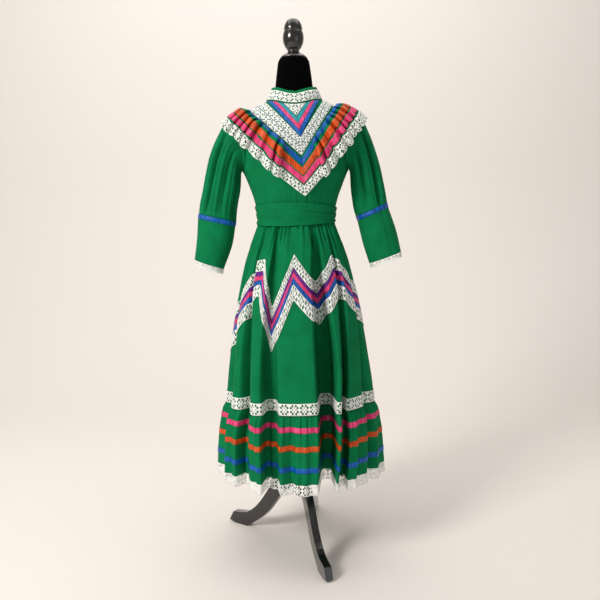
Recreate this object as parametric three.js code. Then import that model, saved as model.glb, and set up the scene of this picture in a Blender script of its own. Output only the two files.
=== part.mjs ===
// A ruffled folk-dance dress worn by a limbless dress form on a wooden tripod stand.
// Millimetres, +Z up, floor at z = 0, the wearer facing -Y. Sizes are named here and worked out below.
import * as THREE from "three";

// Driving dimensions of the cloth and its trims.
const CLOTH = 1.6;
const TRIM = 1.1;
const TRIM_LIFT = 0.85;
const SEAM_GAP = 0.4;
const WAIST_Z = 1010;
const SEAM_Z = 462;
const HEM_Z = 272;
const HEM_LACE = 31;
const BAND_LACE = 34;
const ZIGZAG_LACE = 27;
const ZIGZAG_RIBBONS = 48;
const BERTHA_LACE = 27;

// Driving dimensions of the stand.
const POLE_RADIUS = 16;
const POLE_FOOT_Z = 330;
const FORM_FOOT_Z = 820;
const NECK_TOP_Z = 1474;
const HUB_RADIUS = 28;
const LEG_THICKNESS = 22;
const LEG_BEARINGS = [15.5, 170, -125];
const STAND_GAP = 0.3;

const COLOURS = {
  green: "#0d8a4d",
  lace: "#f3f1ea",
  blue: "#1c4fb0",
  purple: "#7b2fa0",
  pink: "#e8457f",
  black: "#0b0b0c",
  lacquer: "#161514",
};

// Cloth of the torso. half = half-width, front and back = half-depths.
const TORSO = [
  { z: 1000, half: 112, front: 86, back: 80 },
  { z: 1030, half: 115, front: 90, back: 82 },
  { z: 1076, half: 128, front: 103, back: 88 },
  { z: 1124, half: 146, front: 115, back: 94 },
  { z: 1150, half: 157, front: 119, back: 97 },
  { z: 1190, half: 164, front: 122, back: 100 },
  { z: 1235, half: 167, front: 117, back: 101 },
  { z: 1275, half: 166, front: 104, back: 97 },
  { z: 1303, half: 159, front: 89, back: 88 },
  { z: 1325, half: 138, front: 76, back: 76 },
  { z: 1340, half: 108, front: 68, back: 68 },
  { z: 1352, half: 82, front: 62, back: 63 },
];

// The surface that the gathered collar ruffle hangs over: torso and sleeve heads together.
const DRAPE = [
  { z: 1020, half: 236, front: 116, back: 100 },
  { z: 1100, half: 236, front: 122, back: 106 },
  { z: 1200, half: 232, front: 127, back: 108 },
  { z: 1240, half: 227, front: 122, back: 108 },
  { z: 1272, half: 219, front: 110, back: 104 },
  { z: 1292, half: 208, front: 100, back: 98 },
  { z: 1310, half: 190, front: 90, back: 90 },
  { z: 1328, half: 162, front: 80, back: 80 },
  { z: 1340, half: 134, front: 73, back: 73 },
  { z: 1352, half: 100, front: 68, back: 68 },
];

// Half-width at which each bodice panel stops beside the armhole.
const ARMHOLE = [
  { z: 1147, half: 155.7 },
  { z: 1175, half: 146 },
  { z: 1235, half: 141 },
  { z: 1275, half: 143 },
  { z: 1303, half: 149 },
  { z: 1316, half: 147 },
];

// Skirt and hem flounce at the crests of their folds.
const SKIRT = [
  { z: 1010, half: 112, depth: 86 },
  { z: 993, half: 115, depth: 91 },
  { z: 933, half: 139, depth: 113 },
  { z: 885, half: 156, depth: 130 },
  { z: 836, half: 169, depth: 146 },
  { z: 787, half: 180, depth: 160 },
  { z: 739, half: 191, depth: 173 },
  { z: 640, half: 206, depth: 195 },
  { z: 540, half: 218, depth: 212 },
  { z: 462, half: 226, depth: 222 },
];
const FLOUNCE = [
  { z: 461.6, half: 226, depth: 222 },
  { z: 440, half: 238, depth: 233 },
  { z: 389, half: 250, depth: 245 },
  { z: 338, half: 256, depth: 251 },
  { z: 240, half: 262, depth: 256 },
];

// Troughs between the skirt's folds. at = bearing in degrees from the front towards +X at the flounce seam, wide =
// half-width, deep = depth at the seam, drift = turn down to the hem, lean = turn up to the zigzag, top = further turn
// up to the waist, start = height where the trough begins.
const TROUGHS = [
  { at: -90, wide: 6, deep: 12, drift: -2, lean: 0, start: 930, top: 0 },
  { at: -69, wide: 6.5, deep: 42, drift: 1, lean: -2, start: 900, top: 0 },
  { at: -43.5, wide: 5, deep: 48, drift: 2, lean: -8, start: 1000, top: -3 },
  { at: -20.5, wide: 4.9, deep: 42, drift: 2, lean: -8, start: 1000, top: -4 },
  { at: 20, wide: 5, deep: 75, drift: -2.7, lean: 1, start: 1008, top: 9 },
  { at: 33.5, wide: 3.4, deep: 35, drift: -5.5, lean: 20, start: 985, top: 3 },
  { at: 63, wide: 6, deep: 30, drift: -7, lean: 6, start: 900, top: 2 },
  { at: 88, wide: 6, deep: 34, drift: 0, lean: 0, start: 950, top: 0 },
  { at: 110, wide: 6, deep: 42, drift: 2, lean: 0, start: 990, top: 0 },
  { at: 133, wide: 6, deep: 32, drift: -2, lean: 0, start: 940, top: 0 },
  { at: 157, wide: 6.5, deep: 52, drift: 2, lean: 0, start: 1000, top: 0 },
  { at: 184, wide: 6, deep: 36, drift: -2, lean: 0, start: 960, top: 0 },
  { at: 207, wide: 6.5, deep: 56, drift: 2, lean: 0, start: 1000, top: 0 },
  { at: 231, wide: 6, deep: 34, drift: 1, lean: 0, start: 940, top: 0 },
  { at: 249, wide: 5.5, deep: 44, drift: -2, lean: 0, start: 980, top: 0 },
];

// Folds that stand proud of the skirt at the seam.
const CRESTS = [
  { at: -31, wide: 7, high: 22 },
  { at: 28, wide: 5, high: 16 },
  { at: -56, wide: 6, high: 8 },
  { at: 75, wide: 7, high: 8 },
];

// Further troughs that only the gathered flounce has.
const GATHERS = [
  { at: -77, wide: 4, deep: 12 },
  { at: -55, wide: 4, deep: 13 },
  { at: -34, wide: 3.5, deep: 15 },
  { at: -7, wide: 6, deep: 20 },
  { at: 8, wide: 4, deep: 6 },
  { at: 51, wide: 5, deep: 16 },
  { at: 74, wide: 4, deep: 12 },
  { at: 99, wide: 4, deep: 14 },
  { at: 121, wide: 4.5, deep: 16 },
  { at: 145, wide: 4.5, deep: 14 },
  { at: 170, wide: 5, deep: 18 },
  { at: 195, wide: 4.5, deep: 15 },
  { at: 219, wide: 4.5, deep: 17 },
  { at: 241, wide: 4, deep: 13 },
  { at: 263, wide: 4, deep: 12 },
];

// Corners of the zigzag's centre line, by the cloth's bearing at the seam.
const ZIGZAG = [
  { at: -92, z: 655 },
  { at: -32.4, z: 846 },
  { at: -19.5, z: 700 },
  { at: -1, z: 853 },
  { at: 19.7, z: 769 },
  { at: 30.1, z: 848 },
  { at: 92, z: 722 },
  { at: 122, z: 850 },
  { at: 152, z: 732 },
  { at: 180, z: 856 },
  { at: 208, z: 724 },
  { at: 238, z: 846 },
  { at: 268, z: 655 },
];
const ZIGZAG_STEEPEST = { up: 1.1, down: 1.4 };

// Sleeves, as pairs of points on the outer and inner outline seen from the front. x is measured away from the
// body, deep = half-depth, gather = height of the small folds.
const SLEEVE_LEFT = [
  { outX: 152, outZ: 1316, inX: 152, inZ: 1155, deep: 67, gather: 0 },
  { outX: 198, outZ: 1302, inX: 160, inZ: 1149, deep: 73, gather: 2 },
  { outX: 228, outZ: 1258, inX: 162, inZ: 1136, deep: 72, gather: 4 },
  { outX: 252, outZ: 1206, inX: 163, inZ: 1116, deep: 67, gather: 5 },
  { outX: 266, outZ: 1156, inX: 166, inZ: 1090, deep: 61, gather: 5 },
  { outX: 279, outZ: 1096, inX: 172, inZ: 1062, deep: 56, gather: 4 },
  { outX: 288, outZ: 1058, inX: 177, inZ: 1032, deep: 51, gather: 4 },
  { outX: 292, outZ: 1030, inX: 180, inZ: 1004, deep: 47, gather: 1.5 },
  { outX: 295, outZ: 1015, inX: 183, inZ: 989, deep: 46, gather: 0 },
  { outX: 302, outZ: 953, inX: 193, inZ: 930, deep: 43, gather: 0 },
  { outX: 310, outZ: 893, inX: 220, inZ: 862, deep: 38, gather: 0 },
  { outX: 311, outZ: 876, inX: 224, inZ: 845, deep: 39, gather: 0 },
];
const SLEEVE_RIGHT = [
  { outX: 152, outZ: 1316, inX: 152, inZ: 1155, deep: 67, gather: 0 },
  { outX: 194, outZ: 1304, inX: 160, inZ: 1149, deep: 73, gather: 2 },
  { outX: 219, outZ: 1260, inX: 162, inZ: 1136, deep: 72, gather: 4 },
  { outX: 239, outZ: 1206, inX: 163, inZ: 1116, deep: 67, gather: 5 },
  { outX: 253, outZ: 1158, inX: 164, inZ: 1092, deep: 61, gather: 5 },
  { outX: 264, outZ: 1106, inX: 167, inZ: 1066, deep: 56, gather: 4 },
  { outX: 270, outZ: 1074, inX: 172, inZ: 1034, deep: 51, gather: 4 },
  { outX: 273, outZ: 1054, inX: 178, inZ: 1014, deep: 47, gather: 1.5 },
  { outX: 277, outZ: 1040, inX: 182, inZ: 1000, deep: 46, gather: 0 },
  { outX: 298, outZ: 976, inX: 198, inZ: 936, deep: 43, gather: 0 },
  { outX: 313, outZ: 906, inX: 219, inZ: 873, deep: 38, gather: 0 },
  { outX: 316, outZ: 889, inX: 223, inZ: 857, deep: 39, gather: 0 },
];
const RIBBON_RING = 7;
const CUFF_RING = 10;
const SLEEVE_FOLDS = 9;

// Lines of the V-shaped yoke: the tips at front and back, and where each line crosses the shoulder.
const YOKE = {
  ribbonsIn: { front: { x: 6, z: 1296 }, back: { x: 0, z: 1300 }, right: 33, left: -31 },
  ribbonsOut: { front: { x: 16, z: 1238 }, back: { x: 0, z: 1242 }, right: 72, left: -78 },
  laceIn: { front: { x: 16, z: 1236 }, back: { x: 0, z: 1240 }, right: 86, left: -88 },
  laceMid: { front: { x: 17, z: 1211 }, back: { x: 0, z: 1214 }, right: 97, left: -112 },
  laceOut: { front: { x: 18, z: 1186 }, back: { x: 0, z: 1188 }, right: 113, left: -136 },
  frillIn: { front: { x: 18, z: 1184 }, back: { x: 0, z: 1186 }, right: 118, left: -139 },
  frillOut: { front: { x: 24, z: 1100 }, back: { x: 0, z: 1102 }, right: 172, left: -190 },
};
const YOKE_LIFT = 2.4;
const INSET_LIFT = 0.9;
const FRILL_SEWN = 1.9;
const FRILL_LIFT = 5.5;
const FRILL_FALL = 5;
const FRILL_PLEAT = 9;
const PLEATS_A_QUARTER = 8;
const PLEAT_FREE = 0.3;

// The sash: each row's share of its height, and how far it stands off the waist.
const SASH = [
  { share: 1, off: 2.9 },
  { share: 0.86, off: 5.5 },
  { share: 0.7, off: 3.9 },
  { share: 0.51, off: 6.5 },
  { share: 0.33, off: 4.5 },
  { share: 0.14, off: 5.8 },
  { share: 0, off: 4.4 },
];
// Its two edges: mean height, rise at the front, and rise at the right end.
const SASH_FOOT = { z: 995, front: -5.5, right: 3 };
const SASH_TOP = { z: 1040, front: 17, right: -3 };

// The neckline as half-width and half-depths, and the stand collar on it.
const NECK = { half: 82, front: 70, back: 64.5 };
const COLLAR = { height: 38, topHalf: 66, topFront: 55, topBack: 52, lace: 27, laceUp: 2 };

// The padded form inside the dress.
const FORM = [
  { z: FORM_FOOT_Z, half: 114, front: 84, back: 84 },
  { z: 850, half: 120, front: 90, back: 92 },
  { z: 900, half: 114, front: 87, back: 88 },
  { z: 960, half: 102, front: 79, back: 75 },
  { z: 1010, half: 101, front: 77, back: 70 },
  { z: 1060, half: 112, front: 88, back: 76 },
  { z: 1110, half: 130, front: 102, back: 84 },
  { z: 1160, half: 146, front: 111, back: 89 },
  { z: 1205, half: 152, front: 112, back: 92 },
  { z: 1245, half: 152, front: 105, back: 91 },
  { z: 1275, half: 149, front: 94, back: 86 },
  { z: 1300, half: 146, front: 80, back: 77 },
  { z: 1314.8, half: 141.5, front: 71, back: 69 },
  { z: 1326.2, half: 130, front: 62, back: 62 },
  { z: 1338.2, half: 106, front: 55, back: 57 },
  { z: 1349.6, half: 81.2, front: 51, back: 53 },
  { z: 1358, half: 63, front: 49, back: 50 },
  { z: 1374, half: 57.5, front: 47, back: 46 },
  { z: 1425, half: 51.5, front: 44, back: 44 },
  { z: 1464, half: 46, front: 42, back: 42 },
  { z: NECK_TOP_Z, half: 41, front: 40, back: 40 },
];

// Turned profiles as radius and height.
const CAP_AND_FINIAL = [
  { r: 38, z: 1474.3 },
  { r: 39, z: 1477.5 },
  { r: 34, z: 1483 },
  { r: 26, z: 1488 },
  { r: 18.5, z: 1493 },
  { r: 17.5, z: 1498 },
  { r: 22, z: 1504 },
  { r: 26, z: 1511 },
  { r: 29.5, z: 1521 },
  { r: 31, z: 1532 },
  { r: 30, z: 1543 },
  { r: 27.5, z: 1552 },
  { r: 25.5, z: 1554.5 },
  { r: 27, z: 1557 },
  { r: 26.5, z: 1564 },
  { r: 24, z: 1572 },
  { r: 19.5, z: 1580 },
  { r: 12, z: 1586.5 },
];
const FINIAL_TOP_Z = 1589;
const HUB = [
  { r: 13, z: 146 },
  { r: 23, z: 153 },
  { r: HUB_RADIUS, z: 166 },
  { r: HUB_RADIUS, z: 240 },
  { r: 22, z: 248 },
  { r: 29, z: 258 },
  { r: 22, z: 268 },
  { r: 17, z: 284 },
];

// Centre line of a leg out from the hub, with half its depth there.
const LEG = [
  { r: HUB_RADIUS + STAND_GAP, z: 205, half: 30 },
  { r: 60, z: 180, half: 26 },
  { r: 99, z: 139, half: 22 },
  { r: 135, z: 90, half: 20.5 },
  { r: 167, z: 56, half: 20 },
  { r: 200, z: 33, half: 19.5 },
];
const FOOT = { flatFrom: 214, flatTo: 262, tipR: 287, tipZ: 7, topR: 270, topZ: 38 };

const RAD = Math.PI / 180;
const TURN = 360;

// Bearings at which the front and back pieces stop, just short of each other.
const SIDE = 0.13;
const SEAM_TURN = 89.62;

const lerp = (a, b, k) => a + (b - a) * k;
const clamp01 = (k) => Math.min(1, Math.max(0, k));

// A table's column at height z, straight between rows.
function at(table, z, column) {
  const rows = table[0].z < table[table.length - 1].z ? table : [...table].reverse();
  if (z <= rows[0].z) return rows[0][column];
  for (let i = 1; i < rows.length; i++) {
    if (z <= rows[i].z) {
      const k = (z - rows[i - 1].z) / (rows[i].z - rows[i - 1].z);
      return lerp(rows[i - 1][column], rows[i][column], k);
    }
  }
  return rows[rows.length - 1][column];
}

// The height at which a shape narrows to a half-width, looked for down from the top.
function ridgeHeight(table, half) {
  for (let i = table.length - 1; i > 0; i--) {
    const upper = table[i];
    const lower = table[i - 1];
    if (half >= upper.half && half <= lower.half) {
      return lerp(upper.z, lower.z, (half - upper.half) / (lower.half - upper.half));
    }
  }
  return table[table.length - 1].z;
}

// Walls. A grid is rows of points from top to bottom, each row anticlockwise seen from above. A normal is drawn out
// at a fold, as a mitre is, so that a wall keeps its thickness there.
function normalsOf(grid, closed) {
  const LEAST = 0.62;
  const across = grid[0].length;
  return grid.map((row, j) =>
    row.map((_, i) => {
      const up = grid[Math.max(0, j - 1)][i];
      const down = grid[Math.min(grid.length - 1, j + 1)][i];
      const before = closed ? row[(i + across - 1) % across] : row[Math.max(0, i - 1)];
      const after = closed ? row[(i + 1) % across] : row[Math.min(across - 1, i + 1)];
      const fall = new THREE.Vector3().subVectors(down, up);
      const round = new THREE.Vector3().subVectors(after, before);
      const normal = fall.clone().cross(round).normalize();
      const beside = fall.cross(new THREE.Vector3().subVectors(row[i], before)).normalize();
      return beside.lengthSq() ? normal.divideScalar(Math.max(LEAST, normal.dot(beside))) : normal;
    }),
  );
}

// A closed wall between two distances off a grid, over some of its rows and columns.
function wall(grid, normals, { from = 0, to = grid.length - 1, columns = null, inner, outer }) {
  const order = columns ?? grid[0].map((_, i) => i);
  const closed = !columns;
  const across = order.length;
  const down = to - from + 1;
  const points = [];
  for (const off of [outer, inner]) {
    for (let j = from; j <= to; j++) {
      for (const i of order) {
        const p = grid[j][i].clone().addScaledVector(normals[j][i], off);
        points.push(p.x, p.y, p.z);
      }
    }
  }
  const faces = [];
  const index = (side, j, i) => side * across * down + j * across + (i % across);
  const quad = (a, b, c, d) => faces.push(a, b, c, a, c, d);
  const spans = closed ? across : across - 1;
  for (let i = 0; i < spans; i++) {
    for (let j = 0; j + 1 < down; j++) {
      quad(index(0, j, i), index(0, j + 1, i), index(0, j + 1, i + 1), index(0, j, i + 1));
      quad(index(1, j, i), index(1, j, i + 1), index(1, j + 1, i + 1), index(1, j + 1, i));
    }
    quad(index(0, 0, i), index(0, 0, i + 1), index(1, 0, i + 1), index(1, 0, i));
    const last = down - 1;
    quad(index(0, last, i), index(1, last, i), index(1, last, i + 1), index(0, last, i + 1));
  }
  if (!closed) {
    for (let j = 0; j + 1 < down; j++) {
      quad(index(0, j, 0), index(1, j, 0), index(1, j + 1, 0), index(0, j + 1, 0));
      const end = across - 1;
      quad(index(0, j, end), index(0, j + 1, end), index(1, j + 1, end), index(1, j, end));
    }
  }
  const geometry = new THREE.BufferGeometry();
  geometry.setAttribute("position", new THREE.Float32BufferAttribute(points, 3));
  geometry.setIndex(faces);
  geometry.computeVertexNormals();
  return geometry;
}

const lying = { inner: TRIM_LIFT, outer: TRIM_LIFT + TRIM };
const cloth = { inner: -CLOTH, outer: 0 };

const range = (first, last) => Array.from({ length: last - first + 1 }, (_, i) => first + i);

// Skirt.
const wrap = (degrees) => ((((degrees + 180) % TURN) + TURN) % TURN) - 180;

function troughShape(bearing, trough, centre) {
  const away = Math.abs(wrap(bearing - centre)) / (trough.wide * 1.45);
  return away >= 1 ? 0 : 0.5 * (1 + Math.cos(Math.PI * away));
}

// The cloth's turn at a height: folds hang nearly straight, so they turn where the skirt widens.
function hungBearing(bearing, z) {
  const first = TROUGHS[0].at;
  const b = ((((bearing - first) % TURN) + TURN) % TURN) + first;
  const i = TROUGHS.findLastIndex((t) => t.at <= b);
  const low = TROUGHS[i];
  const high = TROUGHS[(i + 1) % TROUGHS.length];
  const gap = ((high.at - low.at + TURN) % TURN) || TURN;
  const share = (column) => lerp(low[column], high[column], (b - low.at) / gap);
  const up = clamp01((z - SEAM_Z) / 368);
  const down = clamp01((SEAM_Z - z) / (SEAM_Z - HEM_Z));
  const waist = clamp01((z - 830) / 170);
  return bearing + share("lean") * up + share("drift") * down + share("top") * waist * waist * (3 - 2 * waist);
}

// The deepest that cloth may be drawn in at a height without touching the form.
function roomInside(bearing, z) {
  if (z < FORM_FOOT_Z) return Infinity;
  const back = Math.cos(bearing * RAD) < 0;
  const form = ellipseRadius(bearing, at(FORM, z, "half"), at(FORM, z, back ? "back" : "front"));
  return Math.max(0, ellipseRadius(bearing, at(SKIRT, z, "half"), at(SKIRT, z, "depth")) - form - CLOTH - 3);
}

function troughDepth(bearing, z) {
  let depth = 0;
  const past = clamp01((SEAM_Z - z) / (SEAM_Z - HEM_Z));
  for (const trough of TROUGHS) {
    const grown = clamp01((trough.start - z) / (trough.start - SEAM_Z)) ** 0.74;
    depth = Math.max(depth, trough.deep * (grown + 0.1 * past) * troughShape(bearing, trough, trough.at));
  }
  return Math.min(depth, roomInside(hungBearing(bearing, z), z));
}

function crestHeight(bearing, z) {
  const grown = clamp01((800 - z) / 320);
  const high = CRESTS.map((crest) => crest.high * troughShape(bearing, crest, crest.at));
  return Math.max(...high) * grown * grown * (3 - 2 * grown);
}

function ellipseRadius(bearing, half, depth) {
  const s = Math.sin(bearing * RAD) / half;
  const c = Math.cos(bearing * RAD) / depth;
  return 1 / Math.hypot(s, c);
}

const polar = (bearing, radius, z) =>
  new THREE.Vector3(radius * Math.sin(bearing * RAD), -radius * Math.cos(bearing * RAD), z);

function skirtPoint(bearing, z) {
  const shown = hungBearing(bearing, z);
  const round = ellipseRadius(shown, at(SKIRT, z, "half"), at(SKIRT, z, "depth"));
  return polar(shown, round - troughDepth(bearing, z) + crestHeight(bearing, z), z);
}

function flouncePoint(bearing, z) {
  const shown = hungBearing(bearing, z);
  const round = ellipseRadius(shown, at(FLOUNCE, z, "half"), at(FLOUNCE, z, "depth"));
  const grown = clamp01((SEAM_Z - z) / (SEAM_Z - 400));
  let gather = 0;
  for (const trough of GATHERS) gather = Math.max(gather, trough.deep * troughShape(bearing, trough, trough.at));
  const proud = crestHeight(bearing, z) * (1 - 0.5 * clamp01((SEAM_Z - z) / 200));
  return polar(shown, round - troughDepth(bearing, z) - gather * (0.25 + 0.75 * grown) + proud, z);
}

// Bearings that meet every trough's flat bottom and flanks, the crests between, and the zigzag's corners.
function bearingsFor(troughs, extra, closest) {
  const wanted = [...extra];
  const sorted = [...troughs].sort((a, b) => a.at - b.at);
  sorted.forEach((trough, i) => {
    const next = sorted[(i + 1) % sorted.length];
    const nextAt = next.at + (i + 1 === sorted.length ? TURN : 0);
    for (const k of [-1.35, -0.45, 0.45, 1.35]) wanted.push(trough.at + k * trough.wide);
    const rise = trough.at + 1.35 * trough.wide;
    const fall = nextAt - 1.35 * next.wide;
    if (fall - rise > 2 * closest) wanted.push((rise + fall) / 2);
  });
  const placed = wanted.map((w) => wrap(w)).sort((a, b) => a - b);
  return placed.filter((w, i) => i === 0 || extra.includes(w) || w - placed[i - 1] > closest);
}

const sideSeams = [-90 - SIDE, -90 + SIDE, 90 - SIDE, 90 + SIDE];

// Height of the zigzag's centre line moved up by an offset square to each slant, with mitred corners.
function zigzagHeight(bearing, offset) {
  const MITRE_REACH = 12;
  const ARC = 3;
  const first = ZIGZAG[0].at;
  const b = wrap(bearing) < first ? wrap(bearing) + TURN : wrap(bearing);
  const line = (k) => {
    const from = ZIGZAG[k];
    const slope = (ZIGZAG[k + 1].z - from.z) / (ZIGZAG[k + 1].at - from.at);
    const rise = offset * Math.min(offset > 0 ? ZIGZAG_STEEPEST.up : ZIGZAG_STEEPEST.down, Math.hypot(1, slope / ARC));
    return { slope, height: from.z + slope * (b - from.at) + rise };
  };
  let i = 0;
  while (i < ZIGZAG.length - 2 && b > ZIGZAG[i + 1].at) i++;
  const here = line(i);
  let z = here.height;
  const meet = (k, corner, peak) => {
    if (k < 0 || k > ZIGZAG.length - 2 || Math.abs(b - corner) > MITRE_REACH) return;
    z = peak ? Math.min(z, line(k).height) : Math.max(z, line(k).height);
  };
  if (i > 0) meet(i - 1, ZIGZAG[i].at, line(i - 1).slope > here.slope);
  if (i < ZIGZAG.length - 2) meet(i + 1, ZIGZAG[i + 1].at, here.slope > line(i + 1).slope);
  return z;
}

function skirtParts() {
  const corners = ZIGZAG.map((c) => wrap(c.at)).filter((b) => Math.abs(Math.abs(b) - 90) > 3);
  const near = (b) => sideSeams.every((s) => Math.abs(b - s) < 0.01 || Math.abs(b - s) > 1.2);
  const bearings = bearingsFor(TROUGHS, [...corners, ...sideSeams], 1.6).filter(near);
  const half = ZIGZAG_RIBBONS / 2;
  const heights = (b) => {
    const lines = [half + ZIGZAG_LACE, half, -half, -half - ZIGZAG_LACE].map((o) => zigzagHeight(b, o));
    return [WAIST_Z - SEAM_GAP, ...lines, SEAM_Z + BAND_LACE, SEAM_Z];
  };
  const columns = bearings.map(heights);
  const grid = columns[0].map((_, j) => bearings.map((b, i) => skirtPoint(b, columns[i][j])));
  const normals = normalsOf(grid, true);
  const ahead = bearings.map((b, i) => [b, i]).filter(([b]) => Math.abs(b) < 90).map(([, i]) => i);
  const behind = [
    ...bearings.map((b, i) => [b, i]).filter(([b]) => b > 90).map(([, i]) => i),
    ...bearings.map((b, i) => [b, i]).filter(([b]) => b < -90).map(([, i]) => i),
  ];
  piece("skirt_front", wall(grid, normals, { columns: ahead, ...cloth }), COLOURS.green);
  piece("skirt_back", wall(grid, normals, { columns: behind, ...cloth }), COLOURS.green);
  piece("zigzag_lace_upper", wall(grid, normals, { from: 1, to: 2, ...lying }), COLOURS.lace);
  piece("zigzag_ribbons", wall(narrowed(grid, 2, 3), normals, { from: 2, to: 3, ...lying }), COLOURS.purple);
  piece("zigzag_lace_lower", wall(grid, normals, { from: 3, to: 4, ...lying }), COLOURS.lace);
  piece("skirt_lace_band", wall(grid, normals, { from: 5, to: 6, ...lying }), COLOURS.lace);
}

// A copy of a grid with two rows drawn together by twice the seam gap, and by more where they slant, so that
// slanting neighbours stay apart.
function narrowed(grid, upper, lower) {
  const copy = grid.map((row) => row.map((p) => p.clone()));
  const steepness = (row, i) => {
    const sides = [i - 1, i + 1].map((j) => grid[row][(j + grid[row].length) % grid[row].length]);
    const slopes = sides.map((side) => {
      const across = Math.hypot(side.x - grid[row][i].x, side.y - grid[row][i].y);
      return Math.hypot(1, (side.z - grid[row][i].z) / across);
    });
    return Math.min(4, Math.max(...slopes));
  };
  copy[upper].forEach((p, i) => {
    const q = copy[lower][i];
    const span = p.distanceTo(q);
    const middle = p.clone().lerp(q, (2 * SEAM_GAP * steepness(upper, i)) / span);
    q.lerp(p, (2 * SEAM_GAP * steepness(lower, i)) / span);
    p.copy(middle);
  });
  return copy;
}

function flounceParts() {
  const bearings = bearingsFor([...TROUGHS, ...GATHERS], [], 2.2);
  const ring = (z) => bearings.map((b) => flouncePoint(b, z));
  const grid = [SEAM_Z - SEAM_GAP, 438, 370, HEM_Z].map(ring);
  piece("flounce", wall(grid, normalsOf(grid, true), cloth), COLOURS.green);
  const hem = [HEM_Z - 1.5 * SEAM_GAP, HEM_Z - HEM_LACE].map(ring);
  piece("hem_lace", wall(hem, normalsOf(hem, true), { inner: -TRIM, outer: 0 }), COLOURS.lace);
}

// Bodice. Its panels stop at the armholes, and meet at side and shoulder seams.
function torsoPoint(table, turn, z, back) {
  const x = at(table, z, "half") * Math.sin(turn);
  const y = at(table, z, back ? "back" : "front") * Math.cos(turn);
  return new THREE.Vector3(x, back ? y : -y, z);
}

// A point of the neckline: its place seen from above, dropped onto the torso.
function neckPoint(turn, back) {
  const x = NECK.half * Math.sin(turn);
  const y = (back ? NECK.back : NECK.front) * Math.cos(turn);
  let low = 1316;
  let high = TORSO[TORSO.length - 1].z;
  for (let i = 0; i < 24; i++) {
    const z = (low + high) / 2;
    const inside = Math.hypot(x / at(TORSO, z, "half"), y / at(TORSO, z, back ? "back" : "front")) < 1;
    if (inside) low = z;
    else high = z;
  }
  return new THREE.Vector3(x, back ? y : -y, low);
}

const neckHeight = (x, back) => neckPoint(Math.asin(clamp01(Math.abs(x) / NECK.half)), back).z;

function bodicePanel(back) {
  const levels = [WAIST_Z, 1050, 1100, 1147, 1175, 1205, 1240, 1275, 1303, 1316, 1328];
  const reach = (z) => {
    const half = at(TORSO, z, "half");
    const edge = z < ARMHOLE[0].z ? half : Math.min(half, at(ARMHOLE, z, "half"));
    return Math.min(Math.asin(edge / half), SEAM_TURN * RAD);
  };
  const STEPS = 6;
  const turns = range(-STEPS, STEPS).map((i) => i / STEPS);
  const rows = levels.map((z) => turns.map((t) => torsoPoint(TORSO, t * reach(z), z, back)));
  rows.push(turns.map((t) => neckPoint(t * SEAM_TURN * RAD, back)));
  const grid = rows.reverse().map((row) => (back ? row.reverse() : row));
  const geometry = wall(grid, normalsOf(grid, false), { columns: grid[0].map((_, i) => i), ...cloth });
  piece(back ? "bodice_back" : "bodice_front", geometry, COLOURS.green);
}

// Yoke. A line runs from the front tip over the right shoulder to the back tip and on over the left shoulder.
function onShape(table, x, z, back) {
  const k = clamp01(Math.abs(x) / at(table, z, "half"));
  const depth = at(table, z, back ? "back" : "front") * Math.sqrt(1 - k * k);
  return new THREE.Vector3(x, back ? depth : -depth, z);
}

// share = 0 at the tip and 1 on the shoulder.
function linePoint(table, line, quarter, share, bulge) {
  const back = quarter === 1 || quarter === 2;
  const tip = back ? line.back : line.front;
  const shoulder = quarter === 0 || quarter === 1 ? line.right : line.left;
  const x = lerp(tip.x, shoulder, share);
  const z = lerp(tip.z, ridgeHeight(table, Math.abs(shoulder)), share);
  return onShape(table, x, z - bulge * Math.sin(Math.PI * share), back);
}

// Stations round a yoke line: each quarter's shares, closest together at the shoulder.
function stations(shares) {
  const out = [];
  for (let quarter = 0; quarter < 4; quarter++) {
    const rising = quarter === 0 || quarter === 2;
    const list = rising ? shares : [...shares].reverse();
    list.slice(0, -1).forEach((share) => out.push({ quarter, share }));
  }
  return out;
}

const eased = (count) => range(0, count).map((i) => Math.sin((i / count) * 90 * RAD));

function yokeLace(name, upper, lower) {
  const around = stations(eased(9));
  const grid = [upper, lower].map((line) => around.map((s) => linePoint(TORSO, line, s.quarter, s.share, 0)));
  const off = { inner: YOKE_LIFT, outer: YOKE_LIFT + TRIM };
  piece(name, wall(grid, normalsOf(grid, true), off), COLOURS.lace);
}

function gapped(line, drop) {
  const { front, back, right, left } = line;
  return {
    front: { x: front.x, z: front.z + drop },
    back: { x: back.x, z: back.z + drop },
    right: right - drop,
    left: left + drop,
  };
}

// A flat V of ribbons on the front or back of the yoke, with its upper ends at the neckline.
function yokeRibbons(back) {
  const DROP = 4;
  const COUNT = 6;
  const edge = (k, side) => {
    const inner = YOKE.ribbonsIn;
    const outer = YOKE.ribbonsOut;
    const x = lerp(side > 0 ? inner.right : inner.left, side > 0 ? outer.right : outer.left, k);
    return { x, z: neckHeight(x, back) - DROP };
  };
  const grid = [0, 0.5, 1].map((k) => {
    const inner = back ? YOKE.ribbonsIn.back : YOKE.ribbonsIn.front;
    const outer = back ? YOKE.ribbonsOut.back : YOKE.ribbonsOut.front;
    const tip = { x: lerp(inner.x, outer.x, k), z: lerp(inner.z, outer.z, k) };
    const row = range(-COUNT, COUNT).map((i) => {
      const share = Math.sin((Math.abs(i) / COUNT) * 90 * RAD);
      const end = edge(k, i);
      return onShape(TORSO, lerp(tip.x, end.x, share), lerp(tip.z, end.z, share), back);
    });
    return back ? row.reverse() : row;
  });
  const columns = grid[0].map((_, i) => i);
  const off = { inner: YOKE_LIFT, outer: YOKE_LIFT + TRIM };
  const geometry = wall(grid, normalsOf(grid, false), { columns, ...off });
  piece(back ? "yoke_ribbons_back" : "yoke_ribbons_front", geometry, COLOURS.pink);
}

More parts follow.
